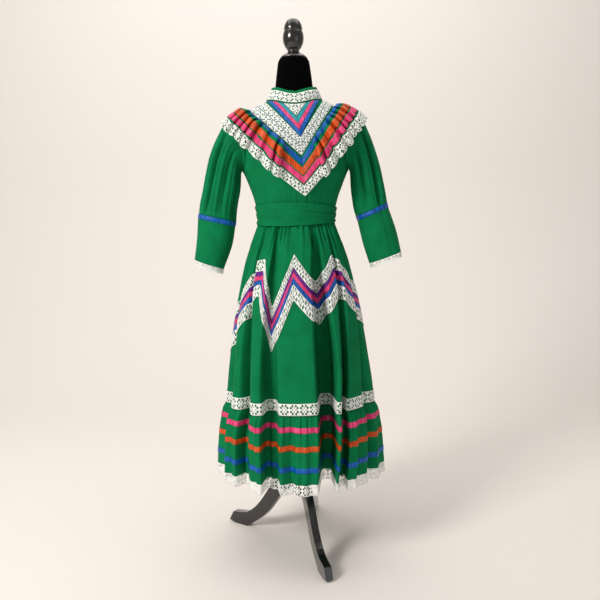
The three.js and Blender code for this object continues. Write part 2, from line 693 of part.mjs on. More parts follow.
// The lace point between the ribbons, under the collar.
function yokeInset(back) {
  const COUNT = 4;
  const CLEAR = 2;
  const tip = back ? YOKE.ribbonsIn.back : YOKE.ribbonsIn.front;
  const row = (lower) =>
    range(-COUNT, COUNT).map((i) => {
      const side = i < 0 ? YOKE.ribbonsIn.left + 6 : YOKE.ribbonsIn.right - 6;
      const share = Math.abs(i) / COUNT;
      const x = lerp(tip.x, side, share);
      const top = neckHeight(x, back) - 4;
      const foot = Math.min(top - 3, lerp(tip.z + 3 * CLEAR, top - 3, share));
      return onShape(TORSO, x, lower ? foot : top, back);
    });
  const grid = [row(false), row(true)].map((r) => (back ? r.reverse() : r));
  const columns = grid[0].map((_, i) => i);
  const off = { inner: INSET_LIFT, outer: INSET_LIFT + TRIM };
  const geometry = wall(grid, normalsOf(grid, false), { columns, ...off });
  piece(back ? "yoke_inset_back" : "yoke_inset_front", geometry, COLOURS.lace);
}

// The gathered collar ruffle: plain at the tips, pleated towards the shoulders.
function frillParts() {
  const shares = [0, PLEAT_FREE / 2];
  const pleats = 2 * PLEATS_A_QUARTER;
  range(0, pleats).forEach((i) => shares.push(lerp(PLEAT_FREE, 1, Math.sin((i / pleats) * 76 * RAD) / Math.sin(76 * RAD))));
  const around = stations(shares);
  const REACH = 1 + BERTHA_LACE / 84;
  const surface = (reach) => {
    const points = around.map((s) => {
      const bulge = 10 * reach;
      const inner = YOKE.frillIn;
      const outer = YOKE.frillOut;
      const mixed = {
        front: { x: lerp(inner.front.x, outer.front.x, reach), z: lerp(inner.front.z, outer.front.z, reach) },
        back: { x: lerp(inner.back.x, outer.back.x, reach), z: lerp(inner.back.z, outer.back.z, reach) },
        right: lerp(inner.right, outer.right, reach),
        left: lerp(inner.left, outer.left, reach),
      };
      const sewn = linePoint(TORSO, mixed, s.quarter, s.share, 0);
      return sewn.lerp(linePoint(DRAPE, mixed, s.quarter, s.share, bulge), Math.min(1, 2.5 * reach));
    });
    return points;
  };
  const reaches = [0.02, 0.5, 1, 1 + SEAM_GAP / 84, REACH];
  const base = reaches.map(surface);
  const normals = normalsOf(base, true);
  const grid = base.map((row, j) =>
    row.map((p, i) => {
      const step = shares.findIndex((s) => Math.abs(s - around[i].share) < 1e-9) - 2;
      const raised = step >= 0 && step < pleats && step % 2 === 1;
      const pleat = raised ? FRILL_PLEAT * (0.3 + 0.7 * Math.min(1, reaches[j])) : 0;
      const lift = j === 0 ? FRILL_SEWN : FRILL_LIFT + FRILL_FALL * reaches[j] + pleat;
      return p.clone().addScaledVector(normals[j][i], lift);
    }),
  );
  const after = normalsOf(grid, true);
  piece("yoke_ruffle", wall(grid, after, { from: 0, to: 2, ...cloth }), COLOURS.green);
  piece("yoke_ruffle_lace", wall(grid, after, { from: 3, to: 4, inner: -TRIM, outer: 0 }), COLOURS.lace);
}

function collarParts() {
  const COUNT = 24;
  const bearings = range(0, COUNT - 1).map((i) => (i * TURN) / COUNT);
  const ring = (up) =>
    bearings.map((b) => {
      const back = Math.cos(b * RAD) < 0;
      const turn = back ? 180 - b : b;
      const low = neckPoint(turn * RAD, back);
      const k = up / COLLAR.height;
      const half = lerp(Math.abs(low.x), COLLAR.topHalf * Math.abs(Math.sin(b * RAD)), k);
      const depth = lerp(Math.abs(low.y), (back ? COLLAR.topBack : COLLAR.topFront) * Math.abs(Math.cos(b * RAD)), k);
      return new THREE.Vector3(Math.sign(low.x) * half, back ? depth : -depth, low.z + SEAM_GAP + 0.4 + up);
    });
  const laceTop = COLLAR.laceUp + COLLAR.lace;
  const grid = [COLLAR.height, laceTop, COLLAR.laceUp, 0].map(ring);
  const normals = normalsOf(grid, true);
  piece("collar", wall(grid, normals, cloth), COLOURS.green);
  piece("collar_lace", wall(grid, normals, { from: 1, to: 2, ...lying }), COLOURS.lace);
}

function sashPart() {
  const COUNT = 32;
  const bearings = range(0, COUNT - 1).map((i) => (i * TURN) / COUNT);
  const grid = SASH.map((row) =>
    bearings.map((b) => {
      const ahead = Math.cos(b * RAD);
      const right = Math.sin(b * RAD);
      const foot = SASH_FOOT.z + SASH_FOOT.front * ahead + SASH_FOOT.right * right;
      const top = SASH_TOP.z + SASH_TOP.front * (0.5 + 0.5 * ahead) ** 2 + SASH_TOP.right * right;
      const z = lerp(foot, top, row.share);
      const wide = z >= WAIST_Z ? at(TORSO, z, "half") : at(SKIRT, z, "half");
      const deep = z >= WAIST_Z ? at(TORSO, z, ahead < 0 ? "back" : "front") : at(SKIRT, z, "depth");
      const slack = 0.4;
      return polar(b, ellipseRadius(b, wide + row.off + slack, deep + row.off + slack), z);
    }),
  );
  piece("sash", wall(grid, normalsOf(grid, true), { inner: -CLOTH, outer: 0 }), COLOURS.green);
}

// Sleeves.
function sleeveRing(row, side, count) {
  const outer = new THREE.Vector3(side * row.outX, 0, row.outZ);
  const inner = new THREE.Vector3(side * row.inX, 0, row.inZ);
  const centre = outer.clone().add(inner).multiplyScalar(0.5);
  const across = outer.clone().sub(inner).multiplyScalar(0.5);
  return range(0, count - 1).map((i) => {
    const turn = (i * TURN * RAD) / count;
    const fold = row.gather * (i % 2 === 0 ? 0 : -1);
    const k = 1 + fold / across.length();
    const point = centre.clone().addScaledVector(across, k * Math.cos(turn));
    point.y += side * (row.deep + fold) * Math.sin(turn);
    return point;
  });
}

function drawnBack(ring, next, gap) {
  return ring.map((p, i) => p.clone().lerp(next[i], gap / p.distanceTo(next[i])));
}

function sleeveParts(rows, side) {
  const label = side > 0 ? "right" : "left";
  const COUNT = 2 * SLEEVE_FOLDS;
  const rings = rows.map((row) => sleeveRing(row, side, COUNT));
  const upper = rings.slice(0, RIBBON_RING + 1);
  piece(`sleeve_upper_${label}`, wall(upper, normalsOf(upper, true), cloth), COLOURS.green);
  const start = drawnBack(rings[RIBBON_RING], rings[RIBBON_RING + 1], SEAM_GAP);
  const lower = [start, ...rings.slice(RIBBON_RING + 1, CUFF_RING + 1)];
  const normals = normalsOf(lower, true);
  piece(`sleeve_lower_${label}`, wall(lower, normals, cloth), COLOURS.green);
  const band = { from: 0, to: 1, inner: TRIM_LIFT, outer: TRIM_LIFT + TRIM };
  piece(`sleeve_ribbon_${label}`, wall(lower, normals, band), COLOURS.blue);
  const cuff = [drawnBack(rings[CUFF_RING], rings[CUFF_RING + 1], SEAM_GAP), rings[CUFF_RING + 1]];
  piece(`cuff_lace_${label}`, wall(cuff, normalsOf(cuff, true), { inner: -TRIM, outer: 0 }), COLOURS.lace);
}

// Dress form and stand.
function lathe(profile, bottomZ, topZ, segments) {
  const points = [
    new THREE.Vector2(0, bottomZ),
    ...profile.map((p) => new THREE.Vector2(p.r, p.z)),
    new THREE.Vector2(0, topZ),
  ];
  return new THREE.LatheGeometry(points, segments).rotateX(90 * RAD);
}

function formPart() {
  const COUNT = 24;
  const rings = FORM.map((row) =>
    range(0, COUNT - 1).map((i) => {
      const bearing = (i * TURN) / COUNT;
      const back = Math.cos(bearing * RAD) < 0;
      const x = row.half * Math.sin(bearing * RAD);
      const y = -(back ? row.back : row.front) * Math.cos(bearing * RAD);
      return [x, y, row.z];
    }),
  );
  const top = rings.length - 1;
  const points = rings.flat(2).concat([0, 0, FORM[0].z, 0, 0, FORM[top].z]);
  const low = rings.length * COUNT;
  const faces = [];
  for (let i = 0; i < COUNT; i++) {
    const next = (i + 1) % COUNT;
    for (let j = 0; j < top; j++) {
      const a = j * COUNT;
      const b = a + COUNT;
      faces.push(a + i, a + next, b + next, a + i, b + next, b + i);
    }
    faces.push(low, next, i, low + 1, top * COUNT + i, top * COUNT + next);
  }
  const geometry = new THREE.BufferGeometry();
  geometry.setAttribute("position", new THREE.Float32BufferAttribute(points, 3));
  geometry.setIndex(faces);
  geometry.computeVertexNormals();
  return geometry;
}

// A leg is a shaped board: its outline in radius and height, extruded by its thickness.
function legGeometry() {
  const upper = [];
  const lower = [];
  LEG.forEach((row, i) => {
    const before = LEG[Math.max(0, i - 1)];
    const after = LEG[Math.min(LEG.length - 1, i + 1)];
    const along = new THREE.Vector2(after.r - before.r, after.z - before.z).normalize();
    const square = i === 0 ? new THREE.Vector2(0, 1) : new THREE.Vector2(-along.y, along.x);
    upper.push(new THREE.Vector2(row.r, row.z).addScaledVector(square, row.half));
    lower.push(new THREE.Vector2(row.r, row.z).addScaledVector(square, -row.half));
  });
  const STEPS = 12;
  const over = new THREE.SplineCurve([...upper, new THREE.Vector2(236, 43), new THREE.Vector2(FOOT.topR, FOOT.topZ)]);
  const under = new THREE.SplineCurve([...lower.slice(0, -1), new THREE.Vector2(FOOT.flatFrom, 0)]);
  const outline = new THREE.Shape([
    ...under.getPoints(STEPS),
    new THREE.Vector2(FOOT.flatTo, 0),
    new THREE.Vector2(FOOT.tipR, FOOT.tipZ),
    ...over.getPoints(STEPS + 2).reverse(),
  ]);
  const board = new THREE.ExtrudeGeometry(outline, { depth: LEG_THICKNESS, bevelEnabled: false, steps: 1 });
  return board.translate(0, 0, -LEG_THICKNESS / 2).rotateX(90 * RAD);
}

const dress = new THREE.Group();

function piece(name, geometry, colour, roughness = 0.85) {
  const material = new THREE.MeshStandardMaterial({ color: colour, roughness, metalness: 0 });
  const mesh = new THREE.Mesh(geometry, material);
  mesh.name = name;
  dress.add(mesh);
  return mesh;
}

function standParts() {
  const GLOSS = 0.3;
  piece("form_body", formPart(), COLOURS.black, 0.95);
  const finial = lathe(CAP_AND_FINIAL, CAP_AND_FINIAL[0].z, FINIAL_TOP_Z, 24);
  piece("form_finial", finial, COLOURS.lacquer, GLOSS);
  const poleTop = FORM_FOOT_Z - STAND_GAP;
  const pole = new THREE.CylinderGeometry(POLE_RADIUS, POLE_RADIUS, poleTop - POLE_FOOT_Z, 20);
  piece("stand_pole", pole.rotateX(90 * RAD), COLOURS.lacquer, GLOSS).position.z = (poleTop + POLE_FOOT_Z) / 2;
  const hubTop = POLE_FOOT_Z - STAND_GAP;
  const hub = lathe([...HUB, { r: POLE_RADIUS + 1, z: hubTop }], HUB[0].z, hubTop, 24);
  piece("stand_hub", hub, COLOURS.lacquer, GLOSS);
  LEG_BEARINGS.forEach((bearing, i) => {
    const leg = piece(`stand_leg_${i + 1}`, legGeometry(), COLOURS.lacquer, GLOSS);
    leg.rotation.z = (bearing - 90) * RAD;
  });
}

standParts();
bodicePanel(false);
bodicePanel(true);
collarParts();
yokeRibbons(false);
yokeRibbons(true);
yokeInset(false);
yokeInset(true);
yokeLace("yoke_lace_inner", YOKE.laceIn, gapped(YOKE.laceMid, SEAM_GAP));
yokeLace("yoke_lace_outer", YOKE.laceMid, YOKE.laceOut);
frillParts();
sleeveParts(SLEEVE_LEFT, -1);
sleeveParts(SLEEVE_RIGHT, 1);
sashPart();
skirtParts();
flounceParts();

// The origin is on the floor, under the middle of the whole.
const bounds = new THREE.Box3().setFromObject(dress);
const middle = bounds.getCenter(new THREE.Vector3());
dress.position.set(-middle.x, -middle.y, 0);

export default dress;
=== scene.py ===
"""A ruffled folk-dance dress on a limbless dress form with a wooden tripod, dressed for a front view.

Tables are in millimetres, as the maker's own sizes are; meshes are in metres."""
import math

import bmesh
import bpy
import numpy as np
from mathutils import Matrix, Vector


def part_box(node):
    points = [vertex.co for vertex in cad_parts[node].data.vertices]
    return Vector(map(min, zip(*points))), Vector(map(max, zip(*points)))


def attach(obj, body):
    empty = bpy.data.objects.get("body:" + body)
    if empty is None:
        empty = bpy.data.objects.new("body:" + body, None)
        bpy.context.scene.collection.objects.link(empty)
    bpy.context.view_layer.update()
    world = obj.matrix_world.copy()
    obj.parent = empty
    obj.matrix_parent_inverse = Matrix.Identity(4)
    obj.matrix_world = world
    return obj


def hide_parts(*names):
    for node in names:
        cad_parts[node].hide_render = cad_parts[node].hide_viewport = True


MM = 0.001
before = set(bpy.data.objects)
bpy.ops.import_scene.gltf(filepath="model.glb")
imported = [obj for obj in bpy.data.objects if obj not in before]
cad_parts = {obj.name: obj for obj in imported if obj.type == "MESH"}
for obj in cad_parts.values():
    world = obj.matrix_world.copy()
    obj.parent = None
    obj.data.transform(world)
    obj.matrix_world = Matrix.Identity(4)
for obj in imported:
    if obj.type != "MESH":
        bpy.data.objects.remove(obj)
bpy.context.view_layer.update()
bpy.ops.object.select_all(action="DESELECT")

# The stand's axis in the frame, in millimetres, taken from the pole.
POLE_LOW, POLE_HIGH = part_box("stand_pole")
AXIS = np.array([(POLE_LOW.x + POLE_HIGH.x) / 2, (POLE_LOW.y + POLE_HIGH.y) / 2, 0.0]) / MM

# Thickness of cloth, lace and ribbon, and how far trims lie off the cloth.
CLOTH = 1.4
TRIM = 0.7
SATIN = 0.5
LACE_LIFT = 1.3
SATIN_LIFT = 1.0
RAISED_RIBBON = 0.9
YOKE_LIFT = 2.0
# Heights of the seams and edges.
WAIST_Z = 1010
TURN_TOP_Z = 830
SEAM_Z = 462
HEM_Z = 272
HEM_LACE_FOOT_Z = 241
BAND_LACE = 34
ZIGZAG_LACE = 32
ZIGZAG_RIBBONS = 38
LACE_REPEAT = 28
LACE_CELLS = 3
# Steps along a piece: round the skirt, round collar and sleeves, and along the yoke's four quarters.
RING = np.linspace(-180, 180, 721)
TURNS = np.linspace(-180, 180, 181)
WAYS = np.linspace(0, 4, 1121)
# Steps over which a surface's direction is taken, along it and up it.
CLOTH_STEP = (0.2, 1.0)
YOKE_STEP = (0.01, 0.05)

# The torso's cloth: half-width and half-depths by height.
TORSO = dict(
    z=[1000, 1030, 1076, 1124, 1150, 1190, 1235, 1275, 1303, 1325, 1340, 1352],
    half=[112, 115, 128, 146, 157, 164, 167, 166, 159, 138, 108, 82],
    front=[86, 90, 103, 115, 119, 122, 117, 104, 89, 76, 68, 62],
    back=[80, 82, 88, 94, 97, 100, 101, 97, 88, 76, 68, 63],
)
# What the yoke ruffle hangs over: torso and sleeve heads together.
DRAPE = dict(
    z=[1020, 1100, 1200, 1240, 1272, 1292, 1310, 1328, 1340, 1352],
    half=[236, 236, 232, 227, 219, 208, 190, 162, 134, 100],
    front=[116, 122, 127, 122, 110, 100, 90, 80, 73, 68],
    back=[100, 106, 108, 108, 104, 98, 90, 80, 73, 68],
)
ARMPIT_Z = 1147
ARMHOLE = dict(z=[ARMPIT_Z, 1175, 1235, 1275, 1303, 1316], half=[155.7, 146, 141, 143, 149, 147])
# A bodice panel follows the torso up to this height, a share of its own, and then runs to the neck.
PANEL_TOP_Z = 1328
PANEL_SHARE = 0.92
SIDE_SEAM_TURN = math.radians(89.7)
SKIRT = dict(
    z=[462, 540, 640, 739, 787, 836, 885, 933, 993, 1010],
    half=[226, 218, 206, 191, 180, 169, 156, 139, 115, 112],
    depth=[222, 212, 195, 173, 160, 146, 130, 113, 91, 86],
)
FLOUNCE = dict(
    z=[240, 338, 389, 440, 461.6],
    half=[262, 256, 250, 238, 226],
    depth=[256, 251, 245, 233, 222],
)
# Skirt troughs: bearing at the seam, half-width in degrees, depth at the seam, turn down to the hem, turn up
# to the zigzag, the height where the trough begins, a further turn up to the waist, and how far it is a square
# slot between two panels rather than a soft valley.
TROUGHS = np.array([
    [-90, 6, 12, -2, 0, 930, 0, 0],
    [-69, 6.5, 42, 1, -2, 900, 0, 0],
    [-43.5, 5, 48, 2, -13, 1000, -1, 0.7],
    [-20.5, 4.6, 50, 2, -8, 1000, -4, 1],
    [20, 5, 114, -2.7, 1, 1008, 9, 1],
    [33.5, 3.2, 52, -5.5, 20, 985, 3, 1],
    [63, 6, 30, -7, 6, 900, 2, 0],
    [88, 6, 34, 0, 0, 950, 0, 0],
    [110, 6, 42, 2, 0, 990, 0, 0],
    [133, 6, 32, -2, 0, 940, 0, 0],
    [157, 6.5, 52, 2, 0, 1000, 0, 0],
    [184, 6, 36, -2, 0, 960, 0, 0],
    [207, 6.5, 56, 2, 0, 1000, 0, 0],
    [231, 6, 34, 1, 0, 940, 0, 0],
    [249, 5.5, 44, -2, 0, 980, 0, 0],
])
# A fold's foot ends at this many of its half-widths. A soft valley's sides are drawn together by the second
# share, so that its fold is broad and its valley narrow.
FOLD_FOOT = 1.45
VALLEY_PULL = 0.7
# Folds that stand proud of the skirt at the seam: bearing, half-width in degrees, height.
CRESTS = np.array([[-31, 7, 22], [28, 5, 18], [-56, 6, 8], [75, 7, 8]])
# Short tucks under the sash: bearing at the waist, half-width in degrees, depth, length.
TUCKS = np.array([
    [-66, 2.2, 8, 80], [-53, 2, 12, 110], [-46, 1.6, 8, 70], [-38, 1.8, 14, 140], [-31, 1.3, 9, 60],
    [-25, 1.4, 12, 120], [-18, 1.2, 9, 90], [-11, 1.2, 5, 40], [3, 1.2, 5, 45], [13, 1.2, 6, 40],
    [24, 1.5, 13, 130], [41, 1.5, 13, 120],
    [48, 1.8, 10, 85], [55, 1.8, 8, 65], [61, 2, 11, 100], [73, 2.2, 8, 70],
    [92, 2.4, 9, 80], [104, 2, 8, 60], [122, 2.4, 10, 100], [139, 2, 8, 60], [150, 2.2, 10, 90],
    [168, 2, 8, 55], [181, 2.4, 10, 100], [196, 2, 8, 60], [214, 2.4, 10, 90], [228, 2, 8, 60],
    [243, 2.2, 10, 90], [262, 2.2, 9, 70],
])
# Troughs that only the gathered flounce has: bearing, half-width, depth.
GATHERS = np.array([
    [-77, 4, 12], [-55, 4, 13], [-34, 3.5, 15], [-7, 6, 20], [8, 4, 6], [51, 5, 16], [74, 4, 12],
    [99, 4, 14], [121, 4.5, 16], [145, 4.5, 14], [170, 5, 18], [195, 4.5, 15], [219, 4.5, 17],
    [241, 4, 13], [263, 4, 12],
])
# Corners of the zigzag's centre line: the cloth's bearing at the seam, and height. Where the band slants, its
# height above and below that line grows by no more than these shares.
ZIGZAG = np.array([
    [-92, 655], [-46, 800], [-39, 838], [-30.5, 843], [-19.5, 700], [-1, 853], [19.7, 769], [30.1, 848],
    [92, 722], [122, 850], [152, 732], [180, 856], [208, 724], [238, 846], [268, 655],
])
ZIGZAG_UP = 1.1
ZIGZAG_DOWN = 1.4
# Sleeves from the shoulder to the cuff: outer and inner outline, half-depth, height of the folds.
SLEEVES = {
    -1: np.array([
        [152, 1316, 152, 1155, 67, 0], [198, 1302, 160, 1149, 73, 4], [228, 1258, 162, 1136, 72, 9],
        [252, 1206, 163, 1116, 67, 11], [266, 1156, 166, 1090, 61, 10], [279, 1096, 172, 1062, 56, 8],
        [288, 1058, 177, 1032, 51, 6], [292, 1030, 180, 1004, 47, 1.5], [295, 1015, 183, 989, 46, 0.8],
        [302, 953, 193, 930, 43, 0.5], [310, 893, 220, 862, 38, 0.5], [311, 876, 224, 845, 39, 0.5],
    ]),
    1: np.array([
        [152, 1316, 152, 1155, 67, 0], [194, 1304, 160, 1149, 73, 4], [219, 1260, 162, 1136, 72, 9],
        [239, 1206, 163, 1116, 67, 11], [253, 1158, 164, 1092, 61, 10], [264, 1106, 167, 1066, 56, 8],
        [270, 1074, 172, 1034, 51, 6], [273, 1054, 178, 1014, 47, 1.5], [277, 1040, 182, 1000, 46, 0.8],
        [298, 976, 198, 936, 43, 0.5], [313, 906, 219, 873, 38, 0.5], [316, 889, 223, 857, 39, 0.5],
    ]),
}
SLEEVE_SIDE = {-1: "left", 1: "right"}
RIBBON_ROW = 7
CUFF_ROW = 10
SLEEVE_FOLDS = 8
# Yoke lines: front tip x and z, back tip x and z, and where the line crosses each shoulder.
YOKE = dict(
    ribbons_in=[6, 1296, 0, 1300, 33, -31],
    ribbons_out=[16, 1238, 0, 1242, 72, -78],
    lace_in=[16, 1236, 0, 1240, 86, -88],
    lace_mid=[17, 1211, 0, 1214, 97, -112],
    lace_out=[18, 1186, 0, 1188, 113, -136],
    frill_in=[18, 1184, 0, 1186, 118, -139],
    frill_out=[24, 1100, 0, 1102, 181, -190],
)
PLEATS_A_QUARTER = 8
PLEAT_FREE = 0.3
# The arcsine of 0.97 in degrees, where a quarter's pleats end at the shoulder.
QUARTER_DEGREES = 75.93
NECK = dict(half=82, front=70, back=64.5)
COLLAR = dict(height=38, half=66, front=55, back=52, lace_from=2, lace_to=29)
FORM = dict(
    z=[820, 850, 900, 960, 1010, 1060, 1110, 1160, 1205, 1245, 1275, 1300, 1314.8, 1326.2, 1338.2,
       1349.6, 1358, 1374, 1425, 1464, 1474],
    half=[114, 120, 114, 102, 101, 112, 130, 146, 152, 152, 149, 146, 141.5, 130, 106, 81.2, 63, 57.5,
          51.5, 46, 41],
    front=[84, 90, 87, 79, 77, 88, 102, 111, 112, 105, 94, 80, 71, 62, 55, 51, 49, 47, 44, 42, 40],
    back=[84, 92, 88, 75, 70, 76, 84, 89, 92, 91, 86, 77, 69, 62, 57, 53, 50, 46, 44, 42, 40],
)


# Shapes.
def table_at(table, z, column):
    """A table's column at heights z, as a smooth curve through its rows."""
    xs, ys = np.array(table["z"], float), np.array(table[column], float)
    slopes = np.gradient(ys, xs)
    z = np.clip(z, xs[0], xs[-1])
    i = np.clip(np.searchsorted(xs, z) - 1, 0, len(xs) - 2)
    h = xs[i + 1] - xs[i]
    k = (z - xs[i]) / h
    return ((1 + 2 * k) * (1 - k) ** 2 * ys[i] + k * (1 - k) ** 2 * h * slopes[i]
            + k * k * (3 - 2 * k) * ys[i + 1] + k * k * (k - 1) * h * slopes[i + 1])


def straight_at(table, z, column):
    """The same with straight lines between rows, as the frame's own solids have."""
    return np.interp(z, table["z"], table[column])


def depth_at(table, z, back):
    return np.where(back, straight_at(table, z, "back"), straight_at(table, z, "front"))


def paired(a, b):
    """Two inputs as arrays of one shape."""
    return np.broadcast_arrays(np.asarray(a, float), np.asarray(b, float))


def joined(grid):
    """A ring's grid with its last column laid on its first."""
    grid[:, -1] = grid[:, 0]
    return grid


def smooth(low, high, x):
    k = np.clip((x - low) / (high - low), 0, 1)
    return k * k * (3 - 2 * k)


def uneven(x, seed):
    """A slow wander between -1 and 1, for spacing that no two folds share."""
    return (np.sin(x * 1.7 + seed) + 0.6 * np.sin(x * 3.1 + 2.3 * seed)
            + 0.4 * np.sin(x * 5.3 + 4.1 * seed)) / 2


def ellipse_radius(bearing, half, depth):
    b = np.radians(bearing)
    return 1 / np.hypot(np.sin(b) / half, np.cos(b) / depth)


def round_radius(table, bearing, z):
    return ellipse_radius(bearing, straight_at(table, z, "half"), straight_at(table, z, "depth"))


def polar(bearing, radius, z):
    b = np.radians(bearing)
    return np.stack([radius * np.sin(b), -radius * np.cos(b), z + 0 * b], -1)


def around(degrees):
    return (degrees + 180) % 360 - 180


def bump(bearing, centre, wide):
    away = np.abs(around(bearing - centre)) / (wide * FOLD_FOOT)
    return np.where(away >= 1, 0, 0.5 * (1 + np.cos(np.pi * np.minimum(away, 1))))


def tallest(folds, bearing):
    """The most that any fold of a table stands at a bearing."""
    return np.max([size * bump(bearing, at, wide) for at, wide, size in folds], axis=0)


def between_troughs(bearing, column):
    """A trough's turn, shared out over the cloth between it and the next trough."""
    order = np.argsort(TROUGHS[:, 0])
    at, value = TROUGHS[order, 0], TROUGHS[order, column]
    at = np.concatenate([[at[-1] - 360], at, [at[0] + 360]])
    value = np.concatenate([[value[-1]], value, [value[0]]])
    b = np.where(bearing < at[0], bearing + 360, bearing)
    b = np.where(b > at[-1], b - 360, b)
    return np.interp(b, at, value)


def turned(bearing, z):
    """Where a line of the cloth hangs: folds fall nearly straight, so they turn as the skirt widens."""
    up = np.clip((z - SEAM_Z) / (TURN_TOP_Z - SEAM_Z), 0, 1)
    down = np.clip((SEAM_Z - z) / (SEAM_Z - HEM_Z), 0, 1)
    waist = smooth(TURN_TOP_Z, 1000, z)
    return (bearing + between_troughs(bearing, 4) * up + between_troughs(bearing, 3) * down
            + between_troughs(bearing, 6) * waist)


def trough_grown(start, z):
    return np.clip((start - z) / (start - SEAM_Z), 0, 1) ** 0.6


def room_inside(shown, z):
    """The deepest that cloth may be drawn in at a height without touching the form."""
    back = np.cos(np.radians(shown)) < 0
    form = ellipse_radius(shown, straight_at(FORM, z, "half"), depth_at(FORM, z, back))
    skirt = round_radius(SKIRT, shown, z)
    return np.where(z < FORM["z"][0], 1e3, np.maximum(0, skirt - form - CLOTH - 3))


def trough_depth(bearing, z):
    deep = np.zeros(np.broadcast(bearing, z).shape)
    past = np.clip((SEAM_Z - z) / (SEAM_Z - HEM_Z), 0, 1)
    for at, wide, depth, _, _, start, _, slot in TROUGHS:
        opened = wide * (0.45 + 0.55 * np.clip((start - z) / 380, 0, 1))
        square = 1 - smooth(0.5, 1, np.abs(around(bearing - at)) / (opened * FOLD_FOOT))
        shape = bump(bearing, at, opened) * (1 - slot) + square * slot
        deep = np.maximum(deep, depth * (trough_grown(start, z) + 0.1 * past) * shape)
    return np.minimum(deep, room_inside(turned(bearing, z), z))


def drawn_in(bearing, z):
    """The sideways share of the troughs, in degrees."""
    shift = np.zeros(np.broadcast(bearing, z).shape)
    for at, wide, _, _, _, start, _, slot in TROUGHS:
        away = np.clip(around(bearing - at) / (wide * FOLD_FOOT), -1, 1)
        grown = np.clip((start - z) / 120, 0, 1)
        shift = shift - VALLEY_PULL * (1 - slot) * wide * FOLD_FOOT / np.pi * np.sin(np.pi * away) * grown
    return shift


def crest_height(bearing, z):
    return tallest(CRESTS, bearing) * smooth(800, 480, z)


def sunk(shown, radius, deep, z):
    """A point at a bearing and radius, sunk into a trough. Folds in front and behind stand square to the view
    from the front, as hung cloth does, and those at the sides stand square to the skirt."""
    b = np.radians(shown)
    aslant = smooth(25, 70, np.abs(np.degrees(np.arcsin(np.abs(np.sin(b))))))
    inward = np.stack([-np.sin(b) * aslant, np.cos(b), 0 * b], -1)
    inward = inward / np.linalg.norm(inward, axis=-1, keepdims=True)
    return polar(shown, radius, z) + inward * deep[..., None]


def skirt_surface(bearing, z):
    """The skirt: broad folds below, fine gathers under the sash, and a slight hang between them."""
    shown = turned(bearing, z)
    radius = round_radius(SKIRT, shown, z)
    b = np.radians(bearing)
    tucks = np.zeros(np.broadcast(bearing, z).shape)
    for at, wide, deep, length in TUCKS:
        tucks = np.maximum(tucks, deep * bump(shown, at, wide) * smooth(WAIST_Z - length, WAIST_Z - 15, z))
    waist = smooth(800, 1000, z)
    gathers = 1.5 * np.cos(46 * b + 2.2 * uneven(b, 1.3)) + 1.0 * np.cos(71 * b + 3 * uneven(b, 4.2))
    long_folds = 1.6 * np.cos(23 * b + 2.6 * uneven(b, 2.4) + 0.4 * z / 100)
    hang = 1.6 * np.sin(9 * b + z / 85) * np.sin(z / 130 + 2 * uneven(b, 6.1))
    body = smooth(SEAM_Z, SEAM_Z + 90, z)
    radius = radius - 1.5 + waist * gathers * (0.35 + 0.65 * smooth(900, 1005, z))
    radius = radius + crest_height(bearing, z) - np.minimum(tucks, room_inside(shown, z) * 0.85)
    radius = radius + body * (hang + long_folds * smooth(560, 800, z))
    return sunk(shown + drawn_in(bearing, z), radius, trough_depth(bearing, z), z)


def flounce_surface(bearing, z):
    """The flounce: tight gathers at its seam that open into waves at the hem."""
    shown = turned(bearing, z)
    radius = round_radius(FLOUNCE, shown, z)
    grown = np.clip((SEAM_Z - z) / (SEAM_Z - 400), 0, 1)
    b = np.radians(bearing)
    tight = 1.9 * np.cos(96 * b + 4 * uneven(b, 3.7)) + 1.2 * np.cos(139 * b + 5 * uneven(b, 5.9))
    waves = 3.4 * np.cos(41 * b + 3.4 * uneven(b, 8.1)) + 1.8 * np.cos(63 * b + 4 * uneven(b, 0.9))
    near_seam = smooth(352, SEAM_Z - 14, z) * (1 - 0.6 * smooth(SEAM_Z - 14, SEAM_Z, z))
    opened = smooth(SEAM_Z, 380, z) * (0.75 + 0.25 * smooth(330, 250, z))
    radius = radius - tallest(GATHERS, bearing) * (0.25 + 0.75 * grown) - 2.4
    radius = radius + near_seam * tight + opened * waves
    radius = radius + crest_height(bearing, z) * (1 - 0.5 * smooth(SEAM_Z, 260, z))
    return sunk(shown + drawn_in(bearing, z), radius, trough_depth(bearing, z), z)


def zigzag_line(offset):
    """The zigzag moved up by an offset square to each slant, with mitred corners, by bearing."""
    b, z = ZIGZAG[:, 0], ZIGZAG[:, 1]
    slope = np.diff(z) / np.diff(b)
    rise = offset * np.minimum(ZIGZAG_UP if offset > 0 else ZIGZAG_DOWN, np.hypot(1, slope / 3.0))

    def height(bearing):
        turn = np.where(bearing < b[0], bearing + 360, bearing)
        turn = np.where(turn > b[-1], turn - 360, turn)
        i = np.clip(np.searchsorted(b, turn) - 1, 0, len(slope) - 1)
        line = lambda k: z[k] + slope[k] * (turn - b[k]) + rise[k]
        out = line(i)
        before, after = np.maximum(i - 1, 0), np.minimum(i + 1, len(slope) - 1)
        for k, peak in ((before, slope[before] > slope[i]), (after, slope[i] > slope[after])):
            near = np.abs(turn - np.where(k < i, b[i], b[np.minimum(i + 1, len(b) - 1)])) < 12
            other = line(k)
            mitred = np.where(peak, np.minimum(out, other), np.maximum(out, other))
            out = np.where(near & (k != i), mitred, out)
        return out
    return height


def zigzag_surface(bearing, offset):
    """The band by bearing and offset from its centre line."""
    bearing, offset = paired(bearing, offset)
    low = np.minimum(offset, 0) / -HALF_BAND
    high = np.maximum(offset, 0) / HALF_BAND
    middle = ZIGZAG_MIDDLE(bearing)
    z = middle + high * (ZIGZAG_TOP(bearing) - middle) + low * (ZIGZAG_FOOT(bearing) - middle)
    return skirt_surface(bearing, z)


